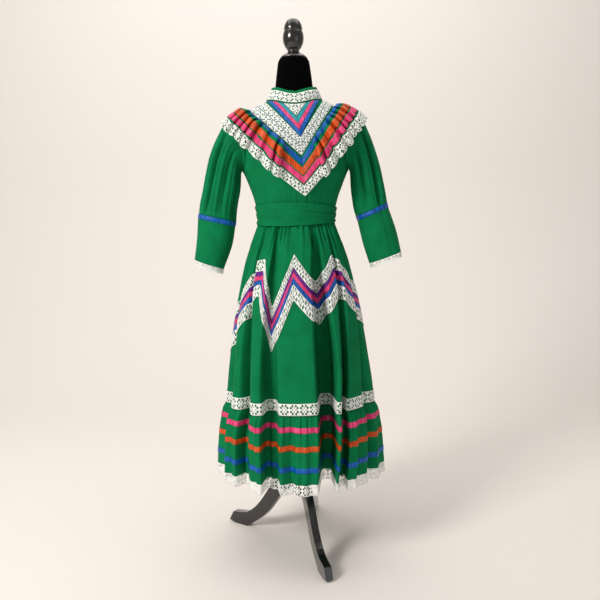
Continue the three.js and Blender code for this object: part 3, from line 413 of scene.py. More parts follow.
HALF_BAND = ZIGZAG_RIBBONS / 2 + ZIGZAG_LACE
ZIGZAG_MIDDLE, ZIGZAG_TOP, ZIGZAG_FOOT = zigzag_line(0), zigzag_line(HALF_BAND), zigzag_line(-HALF_BAND)


def neck_z(x, back):
    """Height of the neckline at x, where the neck's ellipse drops onto the torso."""
    x = np.minimum(np.abs(x), NECK["half"] * 0.9999)
    column = "back" if back else "front"
    y = NECK[column] * np.sqrt(1 - (x / NECK["half"]) ** 2)
    low, high = np.full(np.shape(x), float(ARMHOLE["z"][-1])), np.full(np.shape(x), float(TORSO["z"][-1]))
    for _ in range(24):
        z = (low + high) / 2
        inside = np.hypot(x / straight_at(TORSO, z, "half"), y / straight_at(TORSO, z, column)) < 1
        low, high = np.where(inside, z, low), np.where(inside, high, z)
    return low


def bodice_surface(back):
    """A bodice panel by its share across (-1 to 1) and height share (0 waist, 1 neckline)."""
    sign = 1 if back else -1
    column = "back" if back else "front"

    def surface(across, up):
        across, up = paired(across, up)
        z = WAIST_Z + np.minimum(up, PANEL_SHARE) / PANEL_SHARE * (PANEL_TOP_Z - WAIST_Z)
        half = straight_at(TORSO, z, "half")
        armhole = np.interp(z, ARMHOLE["z"] + [PANEL_TOP_Z], ARMHOLE["half"] + [160])
        edge = np.where(z < ARMPIT_Z, half, np.minimum(half, armhole))
        turn = across * np.minimum(np.arcsin(np.clip(edge / half, 0, 1)), SIDE_SEAM_TURN)
        x, y = half * np.sin(turn), straight_at(TORSO, z, column) * np.cos(turn)
        top_turn = across * SIDE_SEAM_TURN
        neck_x = NECK["half"] * np.sin(top_turn)
        neck = np.stack([neck_x, sign * NECK[column] * np.cos(top_turn), neck_z(neck_x, back)], -1)
        low = np.stack([x, sign * y, z], -1)
        k = np.clip((up - PANEL_SHARE) / (1 - PANEL_SHARE), 0, 1)[..., None]
        points = low * (1 - k) + neck * k
        # Small gathers that rise from the sash, and a few soft pulls across the bust.
        a = across * 1.5
        fine = 1.1 * np.cos(58 * a + 3 * uneven(a, 2.2)) + 0.7 * np.cos(33 * a + 2 * uneven(a, 7.1))
        relief = fine * smooth(1130, 1020, z) - 0.8 + 0.5 * np.sin(7 * a + z / 40)
        out = np.stack([np.sin(turn), sign * np.cos(turn), 0 * turn], -1)
        return points + out * (relief * (1 - k[..., 0]))[..., None]
    return surface


def ridge_height(table, half):
    """The height at which a shape has narrowed to a half-width, from the top down."""
    widths, heights = np.array(table["half"], float), np.array(table["z"], float)
    widest = int(widths.argmax())
    return np.interp(-abs(half), -widths[widest:], heights[widest:])


def on_shape(table, x, z, back):
    k = np.clip(np.abs(x) / straight_at(table, z, "half"), 0, 1)
    depth = straight_at(table, z, "back" if back else "front") * np.sqrt(1 - k * k)
    return np.stack([x, depth if back else -depth, z], -1)


def yoke_line(table, line, way, bulge=0.0):
    """Points of a yoke line. way runs 0 to 4: front tip, right shoulder, back tip, left shoulder, front."""
    way = np.asarray(way, float) % 4
    quarter = np.floor(way).astype(int)
    share = np.where(quarter % 2 == 0, way - quarter, 1 - (way - quarter))
    share = np.sin(np.radians(90 * share))
    back = (quarter == 1) | (quarter == 2)
    tip_x, tip_z = np.where(back, line[2], line[0]), np.where(back, line[3], line[1])
    shoulder = np.where((quarter == 0) | (quarter == 1), line[4], line[5])
    x = tip_x + (shoulder - tip_x) * share
    top = np.where(shoulder > 0, ridge_height(table, line[4]), ridge_height(table, line[5]))
    z = tip_z + (top - tip_z) * share - bulge * np.sin(np.pi * share)
    ahead, behind = on_shape(table, x, z, False), on_shape(table, x, z, True)
    return np.where(back[..., None], behind, ahead), share


def mixed(a, b, k):
    return [p + (q - p) * k for p, q in zip(YOKE[a], YOKE[b])]


def yoke_surface(inner, outer):
    """The yoke between two lines; rise is 0 on the outer one and 1 on the inner one."""
    def surface(way, rise):
        way, rise = paired(way, rise)
        a = yoke_line(TORSO, YOKE[outer], way)[0]
        b = yoke_line(TORSO, YOKE[inner], way)[0]
        return a + (b - a) * rise[..., None]
    return surface


def frill_base(way, reach):
    """The ruffle's lie before it is pleated: sewn on the torso, then out over the sleeve heads."""
    points, shares = np.zeros(way.shape + (3,)), np.zeros(way.shape)
    for r in np.unique(reach):
        here = reach == r
        line = mixed("frill_in", "frill_out", r)
        sewn = yoke_line(TORSO, line, way[here])[0]
        hung, shares[here] = yoke_line(DRAPE, line, way[here], 10 * r)
        points[here] = sewn + (hung - sewn) * min(1.0, 2.5 * r)
    return points, shares


# Meshes.
def normals_of(grid):
    """Outward directions of a grid of points, rows running up and columns anticlockwise from above."""
    across = np.gradient(grid, axis=1)
    up = np.gradient(grid, axis=0)
    if np.allclose(grid[:, 0], grid[:, -1], atol=1e-4):
        across[:, 0] = across[:, -1] = grid[:, 1] - grid[:, -2]
    out = np.cross(across, up)
    return out / np.maximum(np.linalg.norm(out, axis=-1, keepdims=True), 1e-9)


def place(surface, u, v, lift, step=CLOTH_STEP):
    """Points of a surface at u and v, moved out by lift."""
    du, dv = step
    u, v = paired(u, v)
    points = surface(u, v)
    across = surface(u + du, v) - surface(u - du, v)
    up = surface(u, v + dv) - surface(u, v - dv)
    out = np.cross(across, up)
    out /= np.maximum(np.linalg.norm(out, axis=-1, keepdims=True), 1e-9)
    return points + out * lift


def finish_piece(obj, material, nodes):
    """The piece's finish, body and the solids it stands for."""
    obj.data.materials.clear()
    obj.data.materials.append(material)
    obj.data.shade_smooth()
    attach(obj, "root")
    if nodes:
        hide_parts(*nodes)
    return obj


def modifier(obj, kind, **settings):
    """Adds a modifier with its settings and applies it."""
    added = obj.modifiers.new(kind.lower(), kind)
    for name, value in settings.items():
        setattr(added, name, value)
    bpy.context.view_layer.objects.active = obj
    bpy.ops.object.modifier_apply(modifier=added.name)


def merge_doubles(obj):
    bpy.context.view_layer.objects.active = obj
    bpy.ops.object.mode_set(mode="EDIT")
    bpy.ops.mesh.select_all(action="SELECT")
    bpy.ops.mesh.remove_doubles(threshold=1e-6)
    bpy.ops.object.mode_set(mode="OBJECT")


def set_points(obj, points):
    obj.data.vertices.foreach_set("co", (points.reshape(-1, 3) * MM).astype(np.float32).ravel())
    obj.data.update()


def mesh_of(name, grid):
    """A mesh through a grid of points in millimetres."""
    rows, columns = grid.shape[:2]
    bpy.ops.object.select_all(action="DESELECT")
    bpy.ops.mesh.primitive_grid_add(x_subdivisions=columns - 1, y_subdivisions=rows - 1, size=1)
    obj = bpy.context.object
    obj.name = obj.data.name = name
    set_points(obj, grid + AXIS)
    return obj


def lengths(grid):
    """Mean length of a grid across and up, in metres, and running lengths for its cloth map."""
    across = np.linalg.norm(np.diff(grid, axis=1), axis=-1)
    up = np.linalg.norm(np.diff(grid, axis=0), axis=-1)
    run = np.concatenate([[0], np.cumsum(across.mean(0))])
    rise = np.concatenate([[0], np.cumsum(up.mean(1))])
    return run * MM, rise * MM


def cloth(name, grid, thickness, material, nodes=()):
    """A cloth wall through a grid of points in millimetres, joined where its last column meets its first."""
    obj = mesh_of(name, grid)
    columns = grid.shape[1]
    run, rise = lengths(grid)
    corner = np.zeros(len(obj.data.loops), int)
    obj.data.loops.foreach_get("vertex_index", corner)
    layer = obj.data.uv_layers[0]
    layer.uv.foreach_set("vector", np.stack([run[corner % columns], rise[corner // columns]], -1).ravel())
    if np.allclose(grid[:, 0], grid[:, -1], atol=1e-4):
        merge_doubles(obj)
    modifier(obj, "SOLIDIFY", thickness=thickness * MM, offset=-1)
    finish_piece(obj, material, nodes)
    obj["flat"] = (float(run[-1]), float(rise[-1]))
    return obj


def lace_tile():
    """One repeat of lace in a unit square: a net of diamonds round four petals with a small hole in each.
    Real lace has meshes of 1.5 to 4 mm; they are drawn coarser, at about 5 mm, so that they show."""
    bpy.ops.object.select_all(action="DESELECT")
    bpy.ops.mesh.primitive_grid_add(x_subdivisions=LACE_CELLS, y_subdivisions=LACE_CELLS, size=1,
                                    location=(0.5, 0.5, 0))
    obj = bpy.context.object
    obj.name = "lace_pattern"
    bpy.ops.object.transform_apply(location=True, rotation=False, scale=False)
    net = bmesh.new()
    net.from_mesh(obj.data)
    square = [e for e in net.edges if not e.is_boundary]
    bmesh.ops.poke(net, faces=list(net.faces))
    bmesh.ops.dissolve_edges(net, edges=square, use_verts=False)
    eyelets, petals = [], []
    for face in net.faces:
        if len(face.verts) != 4:
            continue
        x, y = face.calc_center_median()[:2]
        (petals if math.hypot(x - 0.5, y - 0.5) < 0.2 else eyelets).append(face)
    holes = []
    for faces, rim in ((eyelets, 0.024), (petals, 0.066)):
        bmesh.ops.inset_individual(net, faces=faces, thickness=rim, use_even_offset=True)
        holes += faces
    bmesh.ops.delete(net, geom=holes, context="FACES_ONLY")
    loose = [v for v in net.verts if not v.link_faces]
    bmesh.ops.delete(net, geom=loose, context="VERTS")
    net.to_mesh(obj.data)
    net.free()
    return obj


LACE_TILE = lace_tile()


def lace(name, surface, low, high, node_name, way=(-180, 180), lift=LACE_LIFT, closed=True, samples=900,
         step=CLOTH_STEP):
    """A band of lace laid on a surface between two of its lines, its repeats even along the cloth."""
    u = np.linspace(*way, samples)
    middle = surface(u, np.full(samples, (low + high) / 2))
    run = np.concatenate([[0], np.cumsum(np.linalg.norm(np.diff(middle, axis=0), axis=-1))])
    repeats = max(1, round(run[-1] / LACE_REPEAT))
    obj = LACE_TILE.copy()
    obj.data = LACE_TILE.data.copy()
    obj.name = obj.data.name = name
    bpy.context.collection.objects.link(obj)
    bpy.ops.object.select_all(action="DESELECT")
    obj.select_set(True)
    modifier(obj, "ARRAY", count=repeats, use_relative_offset=False, use_constant_offset=True,
             constant_offset_displace=(1, 0, 0), use_merge_vertices=True, merge_threshold=1e-4)
    flat = np.zeros(len(obj.data.vertices) * 3, np.float32)
    obj.data.vertices.foreach_get("co", flat)
    flat = flat.reshape(-1, 3)
    along = np.interp(flat[:, 0] / repeats * run[-1], run, u)
    across = low + (high - low) * np.clip(flat[:, 1], 0, 1)
    points = place(surface, along, across, lift, step) + AXIS
    if closed:
        first, last = flat[:, 0] < 1e-6, flat[:, 0] > repeats - 1e-6
        for i in np.flatnonzero(last):
            j = np.flatnonzero(first)[np.abs(flat[first, 1] - flat[i, 1]).argmin()]
            points[i] = points[j]
    set_points(obj, points)
    if closed:
        merge_doubles(obj)
    modifier(obj, "SOLIDIFY", thickness=TRIM * MM, offset=1)
    return finish_piece(obj, LACE, [node_name])


# Materials.
def linear(colour):
    """An sRGB hex colour as linear RGBA."""
    channels = [int(colour[i:i + 2], 16) / 255 for i in (1, 3, 5)]
    return tuple(c / 12.92 if c <= 0.04045 else ((c + 0.055) / 1.055) ** 2.4 for c in channels) + (1.0,)


def node(tree, kind, links=(), **settings):
    """Adds a node. Settings name properties or inputs; links pair an input with another node's output."""
    added = tree.nodes.new(kind)
    for name, value in settings.items():
        if hasattr(added, name):
            setattr(added, name, value)
        else:
            added.inputs[name].default_value = value
    for target, source in links:
        tree.links.new(added.inputs[target], source)
    return added


def new_material(name):
    made = bpy.data.materials.new(name)
    made.use_nodes = True
    return made, made.node_tree, made.node_tree.nodes["Principled BSDF"]


def set_finish(tree, shader, tones, dark, light, relief, strength, deep_mm, stops=(0, 1), **values):
    """What every finish here has: colour from dark to light by one pattern, relief from another, and the
    shader's own values. On cotton the colour pattern is dye that wanders; on satin it is painted shine
    streaks."""
    ramp = node(tree, "ShaderNodeValToRGB", [("Fac", tones)])
    for i, colour in enumerate((dark, light)):
        ramp.color_ramp.elements[i].position = stops[i]
        ramp.color_ramp.elements[i].color = linear(colour)
    raised = node(tree, "ShaderNodeBump", [("Height", relief)], Strength=strength, Distance=deep_mm * MM)
    tree.links.new(shader.inputs["Base Color"], ramp.outputs["Color"])
    tree.links.new(shader.inputs["Normal"], raised.outputs["Normal"])
    for socket, value in values.items():
        shader.inputs[socket.replace("_", " ")].default_value = value
    return raised


# A wave texture's bands repeat every 0.314 units at scale 1.
BAND = 0.314


def woven(name, colour, shade, thread_mm, wander_mm):
    """A plain weave of dyed cotton: two sets of threads on the cloth's own map, dye that wanders slightly,
    uneven yarn, and soft creases. It is matt, with almost no shine."""
    made, tree, shader = new_material(name)
    cloth_map = node(tree, "ShaderNodeUVMap").outputs[0]
    place_of = node(tree, "ShaderNodeTexCoord").outputs["Object"]
    threads = node(tree, "ShaderNodeMath", operation="MAXIMUM")
    for i, direction in enumerate("XY"):
        set_of = node(tree, "ShaderNodeTexWave", [("Vector", cloth_map)], bands_direction=direction,
                      Scale=BAND / (thread_mm * MM))
        tree.links.new(threads.inputs[i], set_of.outputs["Fac"])
    wander = node(tree, "ShaderNodeTexNoise", [("Vector", place_of)], Scale=1 / (wander_mm * MM), Detail=3.0)
    slub = node(tree, "ShaderNodeTexNoise", [("Vector", cloth_map)], Scale=260.0, Detail=2.0)
    height = node(tree, "ShaderNodeMath", [(0, threads.outputs[0]), (1, slub.outputs["Fac"])],
                  operation="ADD")
    raised = set_finish(tree, shader, wander.outputs["Fac"], shade, colour, height.outputs[0], 0.35, 0.6,
                        (0.3, 0.72), Roughness=0.85, Specular_IOR_Level=0.12)
    creases = node(tree, "ShaderNodeTexNoise", [("Vector", place_of)], Scale=34.0, Detail=2.5).outputs["Fac"]
    soft = node(tree, "ShaderNodeBump", [("Height", creases), ("Normal", raised.outputs["Normal"])],
                Strength=0.35, Distance=4 * MM)
    tree.links.new(shader.inputs["Normal"], soft.outputs["Normal"])
    return made


def satin(name, colour, shade):
    """Polyester satin ribbon: long floats that shine across their length, with a ribbed woven edge feel."""
    made, tree, shader = new_material(name)
    cloth_map = node(tree, "ShaderNodeUVMap").outputs[0]
    floats = node(tree, "ShaderNodeTexWave", [("Vector", cloth_map)], bands_direction="Y",
                  Scale=BAND / (1.1 * MM), Distortion=0.6)
    crosswise = node(tree, "ShaderNodeMapping", [("Vector", cloth_map)], Scale=(1, 0.22, 1))
    painted_glints_and_ripple = node(tree, "ShaderNodeTexNoise", [("Vector", crosswise.outputs[0])], Scale=130.0, Detail=3.0)
    height = node(tree, "ShaderNodeMath", [(0, floats.outputs["Fac"]), (1, painted_glints_and_ripple.outputs["Fac"])],
                  operation="ADD")
    # Painted shine: the stretched glint noise sets lighter and darker streaks across the ribbon in its colour,
    # and also ripples its relief.
    set_finish(tree, shader, painted_glints_and_ripple.outputs["Fac"], shade, colour, height.outputs[0], 0.3, 0.9, (0.35, 0.68),
               Roughness=0.36, Specular_IOR_Level=0.28, Anisotropic=0.45)
    return made


def lace_cotton():
    """Cotton lace: matt off-white yarn with a twisted surface."""
    made, tree, shader = new_material("lace_cotton")
    place_of = node(tree, "ShaderNodeTexCoord").outputs["Object"]
    twist = node(tree, "ShaderNodeTexNoise", [("Vector", place_of)], Scale=900.0, Detail=2.0)
    tone = node(tree, "ShaderNodeTexNoise", [("Vector", place_of)], Scale=45.0, Detail=2.0)
    set_finish(tree, shader, tone.outputs["Fac"], "#E4E8E2", "#F7F8F5", twist.outputs["Fac"], 0.5, 0.6,
               Roughness=0.9, Sheen_Weight=0.15)
    return made


def jersey():
    """Knitted polyester cover in black: a fine matt grain with almost no shine."""
    made, tree, shader = new_material("knitted_jersey")
    place_of = node(tree, "ShaderNodeTexCoord").outputs["Object"]
    grain = node(tree, "ShaderNodeTexNoise", [("Vector", place_of)], Scale=700.0, Detail=3.0).outputs["Fac"]
    set_finish(tree, shader, grain, "#010101", "#050506", grain, 0.4, 0.7,
               Roughness=0.95, Specular_IOR_Level=0.04)
    return made


def lacquered(name):
    """Black gloss lacquer on turned beech or on the steel pole: grain shows only as ripples in the shine."""
    made, tree, shader = new_material(name)
    place_of = node(tree, "ShaderNodeTexCoord").outputs["Object"]
    upright = node(tree, "ShaderNodeMapping", [("Vector", place_of)], Scale=(1, 1, 0.12))
    noise = node(tree, "ShaderNodeTexNoise", [("Vector", upright.outputs[0])], Scale=260.0, Detail=4.0)
    grain = noise.outputs["Fac"]
    set_finish(tree, shader, grain, "#0B0A0A", "#1C1A19", grain, 0.12, 0.6,
               Roughness=0.22, Coat_Weight=0.7, Coat_Roughness=0.08)
    return made


# Threads are really about 0.4 mm apart; they are drawn at 1.3 mm so that the weave shows.
COTTON = woven("green_cotton", "#037C4A", "#026E40", thread_mm=1.3, wander_mm=45)
LACE = lace_cotton()
# Each ribbon's two colours are the light and dark ends of its painted shine streaks.
BLUE = satin("blue_satin", "#0269C4", "#01428C")
PINK = satin("pink_satin", "#F2528C", "#C4245F")
TEAL = satin("teal_satin", "#23A0AD", "#0F7C8A")
ORANGE = satin("orange_satin", "#EA5F1E", "#AE360A")
PURPLE = satin("purple_satin", "#7A249E", "#45106A")
JERSEY = jersey()
LACQUER = lacquered("lacquered_beech")
ENAMEL = lacquered("enamelled_steel")


def strip(name, surface, low, high, material, nodes=()):
    """A ribbon laid round a surface between two of its lines."""
    rows = np.linspace(low, high, 5)
    grid = place(surface, RING[None, :], rows[:, None], SATIN_LIFT)
    if np.allclose(surface(RING[:1], rows[:1]), surface(RING[-1:], rows[:1]), atol=1e-3):
        grid = joined(grid)
    return cloth(name, grid, SATIN, material, nodes)


# Skirt, in two panels that meet at the side seams.
SIDE_GAP = 0.13
PANEL_STEP = 0.6
FINE_FROM_Z = 900
heights = np.concatenate([
    np.linspace(SEAM_Z, FINE_FROM_Z, 44),
    np.linspace(FINE_FROM_Z, WAIST_Z - 0.4, 22)[1:],
])
for side, first in (("front", -90 + SIDE_GAP), ("back", 90 + SIDE_GAP)):
    last = first + 180 - 2 * SIDE_GAP
    bearings = np.linspace(first, last, round((last - first) / PANEL_STEP))
    grid = skirt_surface(around(bearings)[None, :], heights[:, None])
    cloth(f"skirt_cloth_{side}", grid, CLOTH, COTTON, [f"skirt_{side}"])

half = ZIGZAG_RIBBONS / 2
# Half the gap that is left between two ribbons.
PARTING = 0.4
zigzag_trims = [
    lace("zigzag_lace_top", zigzag_surface, half, half + ZIGZAG_LACE, "zigzag_lace_upper"),
    lace("zigzag_lace_foot", zigzag_surface, -half - ZIGZAG_LACE, -half, "zigzag_lace_lower"),
]
for name, material, slot_name, low, high, nodes in (
    ("purple", PURPLE, "purple_satin", half / 3, half, ["zigzag_ribbons"]),
    ("pink", PINK, "pink_satin", -half / 3, half / 3, []),
    ("blue", BLUE, "blue_satin", -half, -half / 3, []),
):
    zigzag_trims.append(strip(f"zigzag_ribbon_{name}", zigzag_surface, low + PARTING, high - PARTING,
                              material, nodes))
band = lace("flounce_seam_lace", skirt_surface, SEAM_Z + 1, SEAM_Z + BAND_LACE, "skirt_lace_band")

# Flounce, its three ribbons and the lace at the hem.
flounce_heights = np.linspace(HEM_Z, SEAM_Z - 0.5, 35)
grid = joined(flounce_surface(RING[None, :], flounce_heights[:, None]))
flounce = cloth("flounce_cloth", grid, CLOTH, COTTON, ["flounce"])
FLOUNCE_RIBBON = 15
flounce_trims = [
    strip(f"flounce_ribbon_{name}", flounce_surface, low, low + FLOUNCE_RIBBON, material)
    for name, low, material, slot_name in (
        ("pink", 416, PINK, "pink_satin"),
        ("orange", 364, ORANGE, "pink_satin"),
        ("blue", 305, BLUE, "blue_satin"),
    )
]
hem = lace("hem_lace_band", flounce_surface, HEM_LACE_FOOT_Z, HEM_Z - 0.6, "hem_lace", lift=-TRIM)

# Bodice.
across = np.linspace(-1, 1, 145)
up = np.concatenate([np.linspace(0, PANEL_SHARE, 56), np.linspace(PANEL_SHARE, 1, 9)[1:]])
for back in (False, True):
    grid = bodice_surface(back)(across[None, :], up[:, None])
    if back:
        grid = grid[:, ::-1]
    name = "bodice_back" if back else "bodice_front"
    cloth(f"{name}_cloth", grid, CLOTH, COTTON, [name])


def collar_surface(bearing, rise):
    """The stand collar by bearing and height above the neckline."""
    bearing, rise = paired(bearing, rise)
    b = np.radians(bearing)
    back = np.cos(b) < 0
    x = NECK["half"] * np.sin(b)
    y = -np.where(back, NECK["back"], NECK["front"]) * np.cos(b)
    z = np.where(back, neck_z(x, True), neck_z(x, False))
    k = rise / COLLAR["height"]
    top_x = COLLAR["half"] * np.sin(b)
    top_y = -np.where(back, COLLAR["back"], COLLAR["front"]) * np.cos(b)
    dip = 2.5 * k * np.exp(-(around(bearing - 4) / 5) ** 2)
    wave = 0.5 * np.sin(6 * b + 2 * uneven(b, 3.3)) * k
    return np.stack([x + (top_x - x) * k, y + (top_y - y) * k, z + 0.8 + rise - dip + wave], -1)


grid = joined(collar_surface(TURNS[None, :], np.linspace(0, COLLAR["height"], 14)[:, None]))
collar = cloth("stand_collar", grid, CLOTH, COTTON, ["collar"])
collar_lace = lace("collar_lace_band", collar_surface, COLLAR["lace_from"], COLLAR["lace_to"], "collar_lace",
                   step=(1.0, 1.0))


# Yoke: lace rows, three ribbons in a V, and the lace point between them, front and back.
yoke_trims = [
    lace("yoke_lace_row_1", yoke_surface("lace_in", "lace_mid"), 0.07, 1, "yoke_lace_inner", way=(0, 4),
         lift=YOKE_LIFT, step=YOKE_STEP),
    lace("yoke_lace_row_2", yoke_surface("lace_mid", "lace_out"), 0, 0.98, "yoke_lace_outer", way=(0, 4),
         lift=YOKE_LIFT, step=YOKE_STEP),
]


def v_surface(back):
    """The V of ribbons by share across (-1 to 1, the tip at 0) and reach from the inner line to the outer."""
    def surface(share, reach):
        share, reach = paired(share, reach)
        i, o = YOKE["ribbons_in"], YOKE["ribbons_out"]
        tip = 2 if back else 0
        tip_x, tip_z = i[tip] + (o[tip] - i[tip]) * reach, i[tip + 1] + (o[tip + 1] - i[tip + 1]) * reach
        end_x = np.where(share > 0, i[4] + (o[4] - i[4]) * reach, i[5] + (o[5] - i[5]) * reach)
        end_z = neck_z(end_x, back) - 3
        k = np.abs(share)
        return on_shape(TORSO, tip_x + (end_x - tip_x) * k, tip_z + (end_z - tip_z) * k, back)
    return surface


def inset_surface(back):
    """The lace point inside the V: reach 0 along its foot, 1 along the neckline."""
    def surface(share, reach):
        share, reach = paired(share, reach)
        i = YOKE["ribbons_in"]
        tip = 2 if back else 0
        end_x = np.where(share > 0, i[4] - 1, i[5] + 1)
        x = i[tip] + (end_x - i[tip]) * np.abs(share)
        top = neck_z(x, back) - 3
        low = i[tip + 1] + 2
        foot = np.minimum(top - 0.6, low + (neck_z(end_x, back) - 3.5 - low) * np.abs(share))
        return on_shape(TORSO, x, foot + (top - foot) * reach, back)
    return surface


share_row = np.linspace(-1, 1, 121)
for back in (False, True):
    side = "back" if back else "front"
    for name, material, slot_name, low, high in (
        ("blue", BLUE, "blue_satin", 0.66, 1.0),
        ("pink", PINK, "pink_satin", 0.35, 0.65),
        ("teal", TEAL, "blue_satin", 0.02, 0.34),
    ):
        grid = v_surface(back)(share_row[None, :], np.linspace(high, low, 5)[:, None])
        if back:
            grid = grid[:, ::-1]
        grid = grid + normals_of(grid) * YOKE_LIFT
        nodes = [f"yoke_ribbons_{side}"] if name == "blue" else []
        yoke_trims.append(cloth(f"yoke_ribbon_{name}_{side}", grid, SATIN, material, nodes))
    surface = inset_surface(back)
    turned_over = (lambda s, r, f=surface: f(-s, r)) if back else surface
    yoke_trims.append(lace(f"yoke_lace_point_{side}", turned_over, 0.0, 1.0, f"yoke_inset_{side}",
                           way=(-0.97, 0.97), lift=YOKE_LIFT, closed=False, step=YOKE_STEP))


# Ruffle: flat at the tips, knife pleats towards the shoulders.
def pleat_turn(share, quarter):
    """How many pleats lie between the flat tip and here, a little uneven as hand-laid pleats are."""
    k = np.clip((share - PLEAT_FREE) / (1 - PLEAT_FREE), 0, 1)
    along = np.degrees(np.arcsin(k * 0.97)) / QUARTER_DEGREES
    wander = 0.32 * np.sin(np.pi * along) * np.sin(9.0 * along + 2.1 * quarter + 0.6)
    return PLEATS_A_QUARTER * along + wander


FRILL_SEWN = 1.9
FRILL_LIFT = 4.0
FRILL_FALL = 4.0
# A pleat stands higher and laps further towards the ruffle's loose edge.
PLEAT_RISE = (13.0, 24.0)
PLEAT_LAP = (8.0, 14.0)
PLEAT_DROP = 4.0
PLEAT_NARROW = 2.8
# How far the ruffle's edge hangs lower over the right shoulder and the left.
SHOULDER_DROP = (8, 12)


def frill_grid(reaches, lift=0.0):
    """Rows of the ruffle from its sewn line (reach 0) out, as a grid that runs up from the edge."""
    w, r = np.meshgrid(WAYS, reaches[::-1])
    base, share = frill_base(w, r)
    out = normals_of(base)
    across = np.gradient(base, axis=1)
    across[:, 0] = across[:, -1] = base[:, 1] - base[:, -2]
    across /= np.maximum(np.linalg.norm(across, axis=-1, keepdims=True), 1e-9)
    down = np.cross(across, out)
    quarter = np.floor(w % 4)
    pleat = pleat_turn(share, quarter)
    fold = 1 - (0.5 + 0.5 * np.cos(2 * np.pi * pleat)) ** PLEAT_NARROW
    fold = fold * (0.8 + 0.25 * np.sin(2.3 * pleat + 1.9 * quarter))
    loose = np.minimum(1, r) ** 0.8
    rise = (PLEAT_RISE[0] + (PLEAT_RISE[1] - PLEAT_RISE[0]) * loose) * fold * (1 - 0.4 * share ** 4)
    lap = (PLEAT_LAP[0] + (PLEAT_LAP[1] - PLEAT_LAP[0]) * loose) * fold
    towards_tip = np.where(quarter % 2 == 0, -1, 1)
    near = smooth(0, 0.16, r)
    ripple = 1.6 * np.sin(w * 21 + 1.3 * np.sin(w * 8)) * smooth(0.3, 1.2, r)
    lie = FRILL_SEWN + (FRILL_LIFT + FRILL_FALL * r - FRILL_SEWN) * near + ripple
    grid = (base + out * (lie + rise * near)[..., None] + across * (lap * near * towards_tip)[..., None]
            + down * (PLEAT_DROP * fold * loose ** 2)[..., None])
    grid[..., 2] -= np.where(w % 4 < 2, *SHOULDER_DROP) * share ** 4 * r
    grid = joined(grid)
    return joined(grid + normals_of(grid) * lift) if lift else grid


# The ruffle's cloth is 84 mm long and its lace hangs 27 mm below it.
LACE_REACH = 1 + 27 / 84
grid = frill_grid(np.linspace(0.0, 1.0, 21))
ruffle = cloth("yoke_ruffle_cloth", grid, CLOTH, COTTON, ["yoke_ruffle"])
for name, material, slot_name, near, far in (
    ("blue", BLUE, "blue_satin", 0.10, 0.34),
    ("orange", ORANGE, "pink_satin", 0.39, 0.64),
    ("pink", PINK, "pink_satin", 0.69, 0.92),
):
    grid = frill_grid(np.linspace(near, far, 6), lift=RAISED_RIBBON)
    cloth(f"ruffle_ribbon_{name}", grid, SATIN, material)


class GridSurface:
    """A surface read from a fine grid of points, so that lace can follow pleats."""

    def __init__(self, grid, us, vs):
        self.grid, self.us, self.vs = grid, us, vs

    def __call__(self, u, v):
        u, v = paired(u, v)
        x = np.clip(np.interp(u, self.us, np.arange(len(self.us))), 0, len(self.us) - 1.000001)
        y = np.clip(np.interp(v, self.vs, np.arange(len(self.vs))), 0, len(self.vs) - 1.000001)
        i, j = np.floor(x).astype(int), np.floor(y).astype(int)
        a, b = (x - i)[..., None], (y - j)[..., None]
        g = self.grid
        low = g[j, i] * (1 - a) + g[j, i + 1] * a
        high = g[j + 1, i] * (1 - a) + g[j + 1, i + 1] * a
        return low * (1 - b) + high * b


grid = frill_grid(np.linspace(0.985, LACE_REACH, 9), lift=RAISED_RIBBON)
edge = GridSurface(grid, WAYS, np.linspace(0, 1, 9))
ruffle_lace = lace("ruffle_edge_lace", edge, 0, 1, "yoke_ruffle_lace", way=(0, 4), lift=0, samples=1401,
                   step=(0.004, 0.1))


# Sleeves.
def sleeve_surface(side):
    rows = SLEEVES[side]

    def head_seam(a):
        """The sleeve's sewn edge, just off the bodice panels' armhole edges."""
        foot, top = ARMHOLE["z"][0], ARMHOLE["z"][-1]
        z = (top + foot) / 2 + (top - foot) / 2 * np.cos(a)
        x = np.interp(z, ARMHOLE["z"], ARMHOLE["half"])
        y = side * np.sin(a)
        narrow = np.sqrt(np.clip(1 - (x / straight_at(TORSO, z, "half")) ** 2, 0, 1))
        y = np.sign(y) * depth_at(TORSO, z, y > 0) * narrow
        return np.stack([side * (x + 0.9), y, z], -1)

    def surface(turn, row):
        """turn in degrees round the sleeve, 0 on its outer line; row counts from the shoulder to the cuff,
        with the sewn head at -1."""
        turn, row = paired(turn, row)
        index = np.arange(len(rows))
        outline = dict(z=index, **{str(c): rows[:, c] for c in range(6)})
        ox, oz, ix, iz, deep, gather = (table_at(outline, row, str(c)) for c in range(6))
        a = np.radians(turn)
        crease = 0.5 - 0.5 * np.cos(SLEEVE_FOLDS * a + 1.2 * np.sin(a) + 0.8 * np.sin(2 * a) + 0.1 * row)
        deep_ones = 2.1 + 1.0 * np.sin(2 * a + 2.2 + side)
        fold = -gather * deep_ones * crease ** 3.2
        fine = -0.3 * gather * (0.5 - 0.5 * np.cos(24 * a + 2 * np.sin(a)))
        slack = 1.5 * np.sin(2 * a + row * 1.3 + side) * smooth(7, 9, row)
        grow = fold + fine + slack - 0.4
        half_long = np.hypot(ox - ix, oz - iz) / 2
        k = 1 + grow / half_long
        cx, cz = (ox + ix) / 2, (oz + iz) / 2
        x = side * (cx + (ox - ix) / 2 * k * np.cos(a))
        z = cz + (oz - iz) / 2 * k * np.cos(a)
        y = side * (deep + grow) * np.sin(a)
        k = np.clip(-row, 0, 1)[..., None]
        return np.stack([x, y, z], -1) * (1 - k) + head_seam(a) * k
    return surface


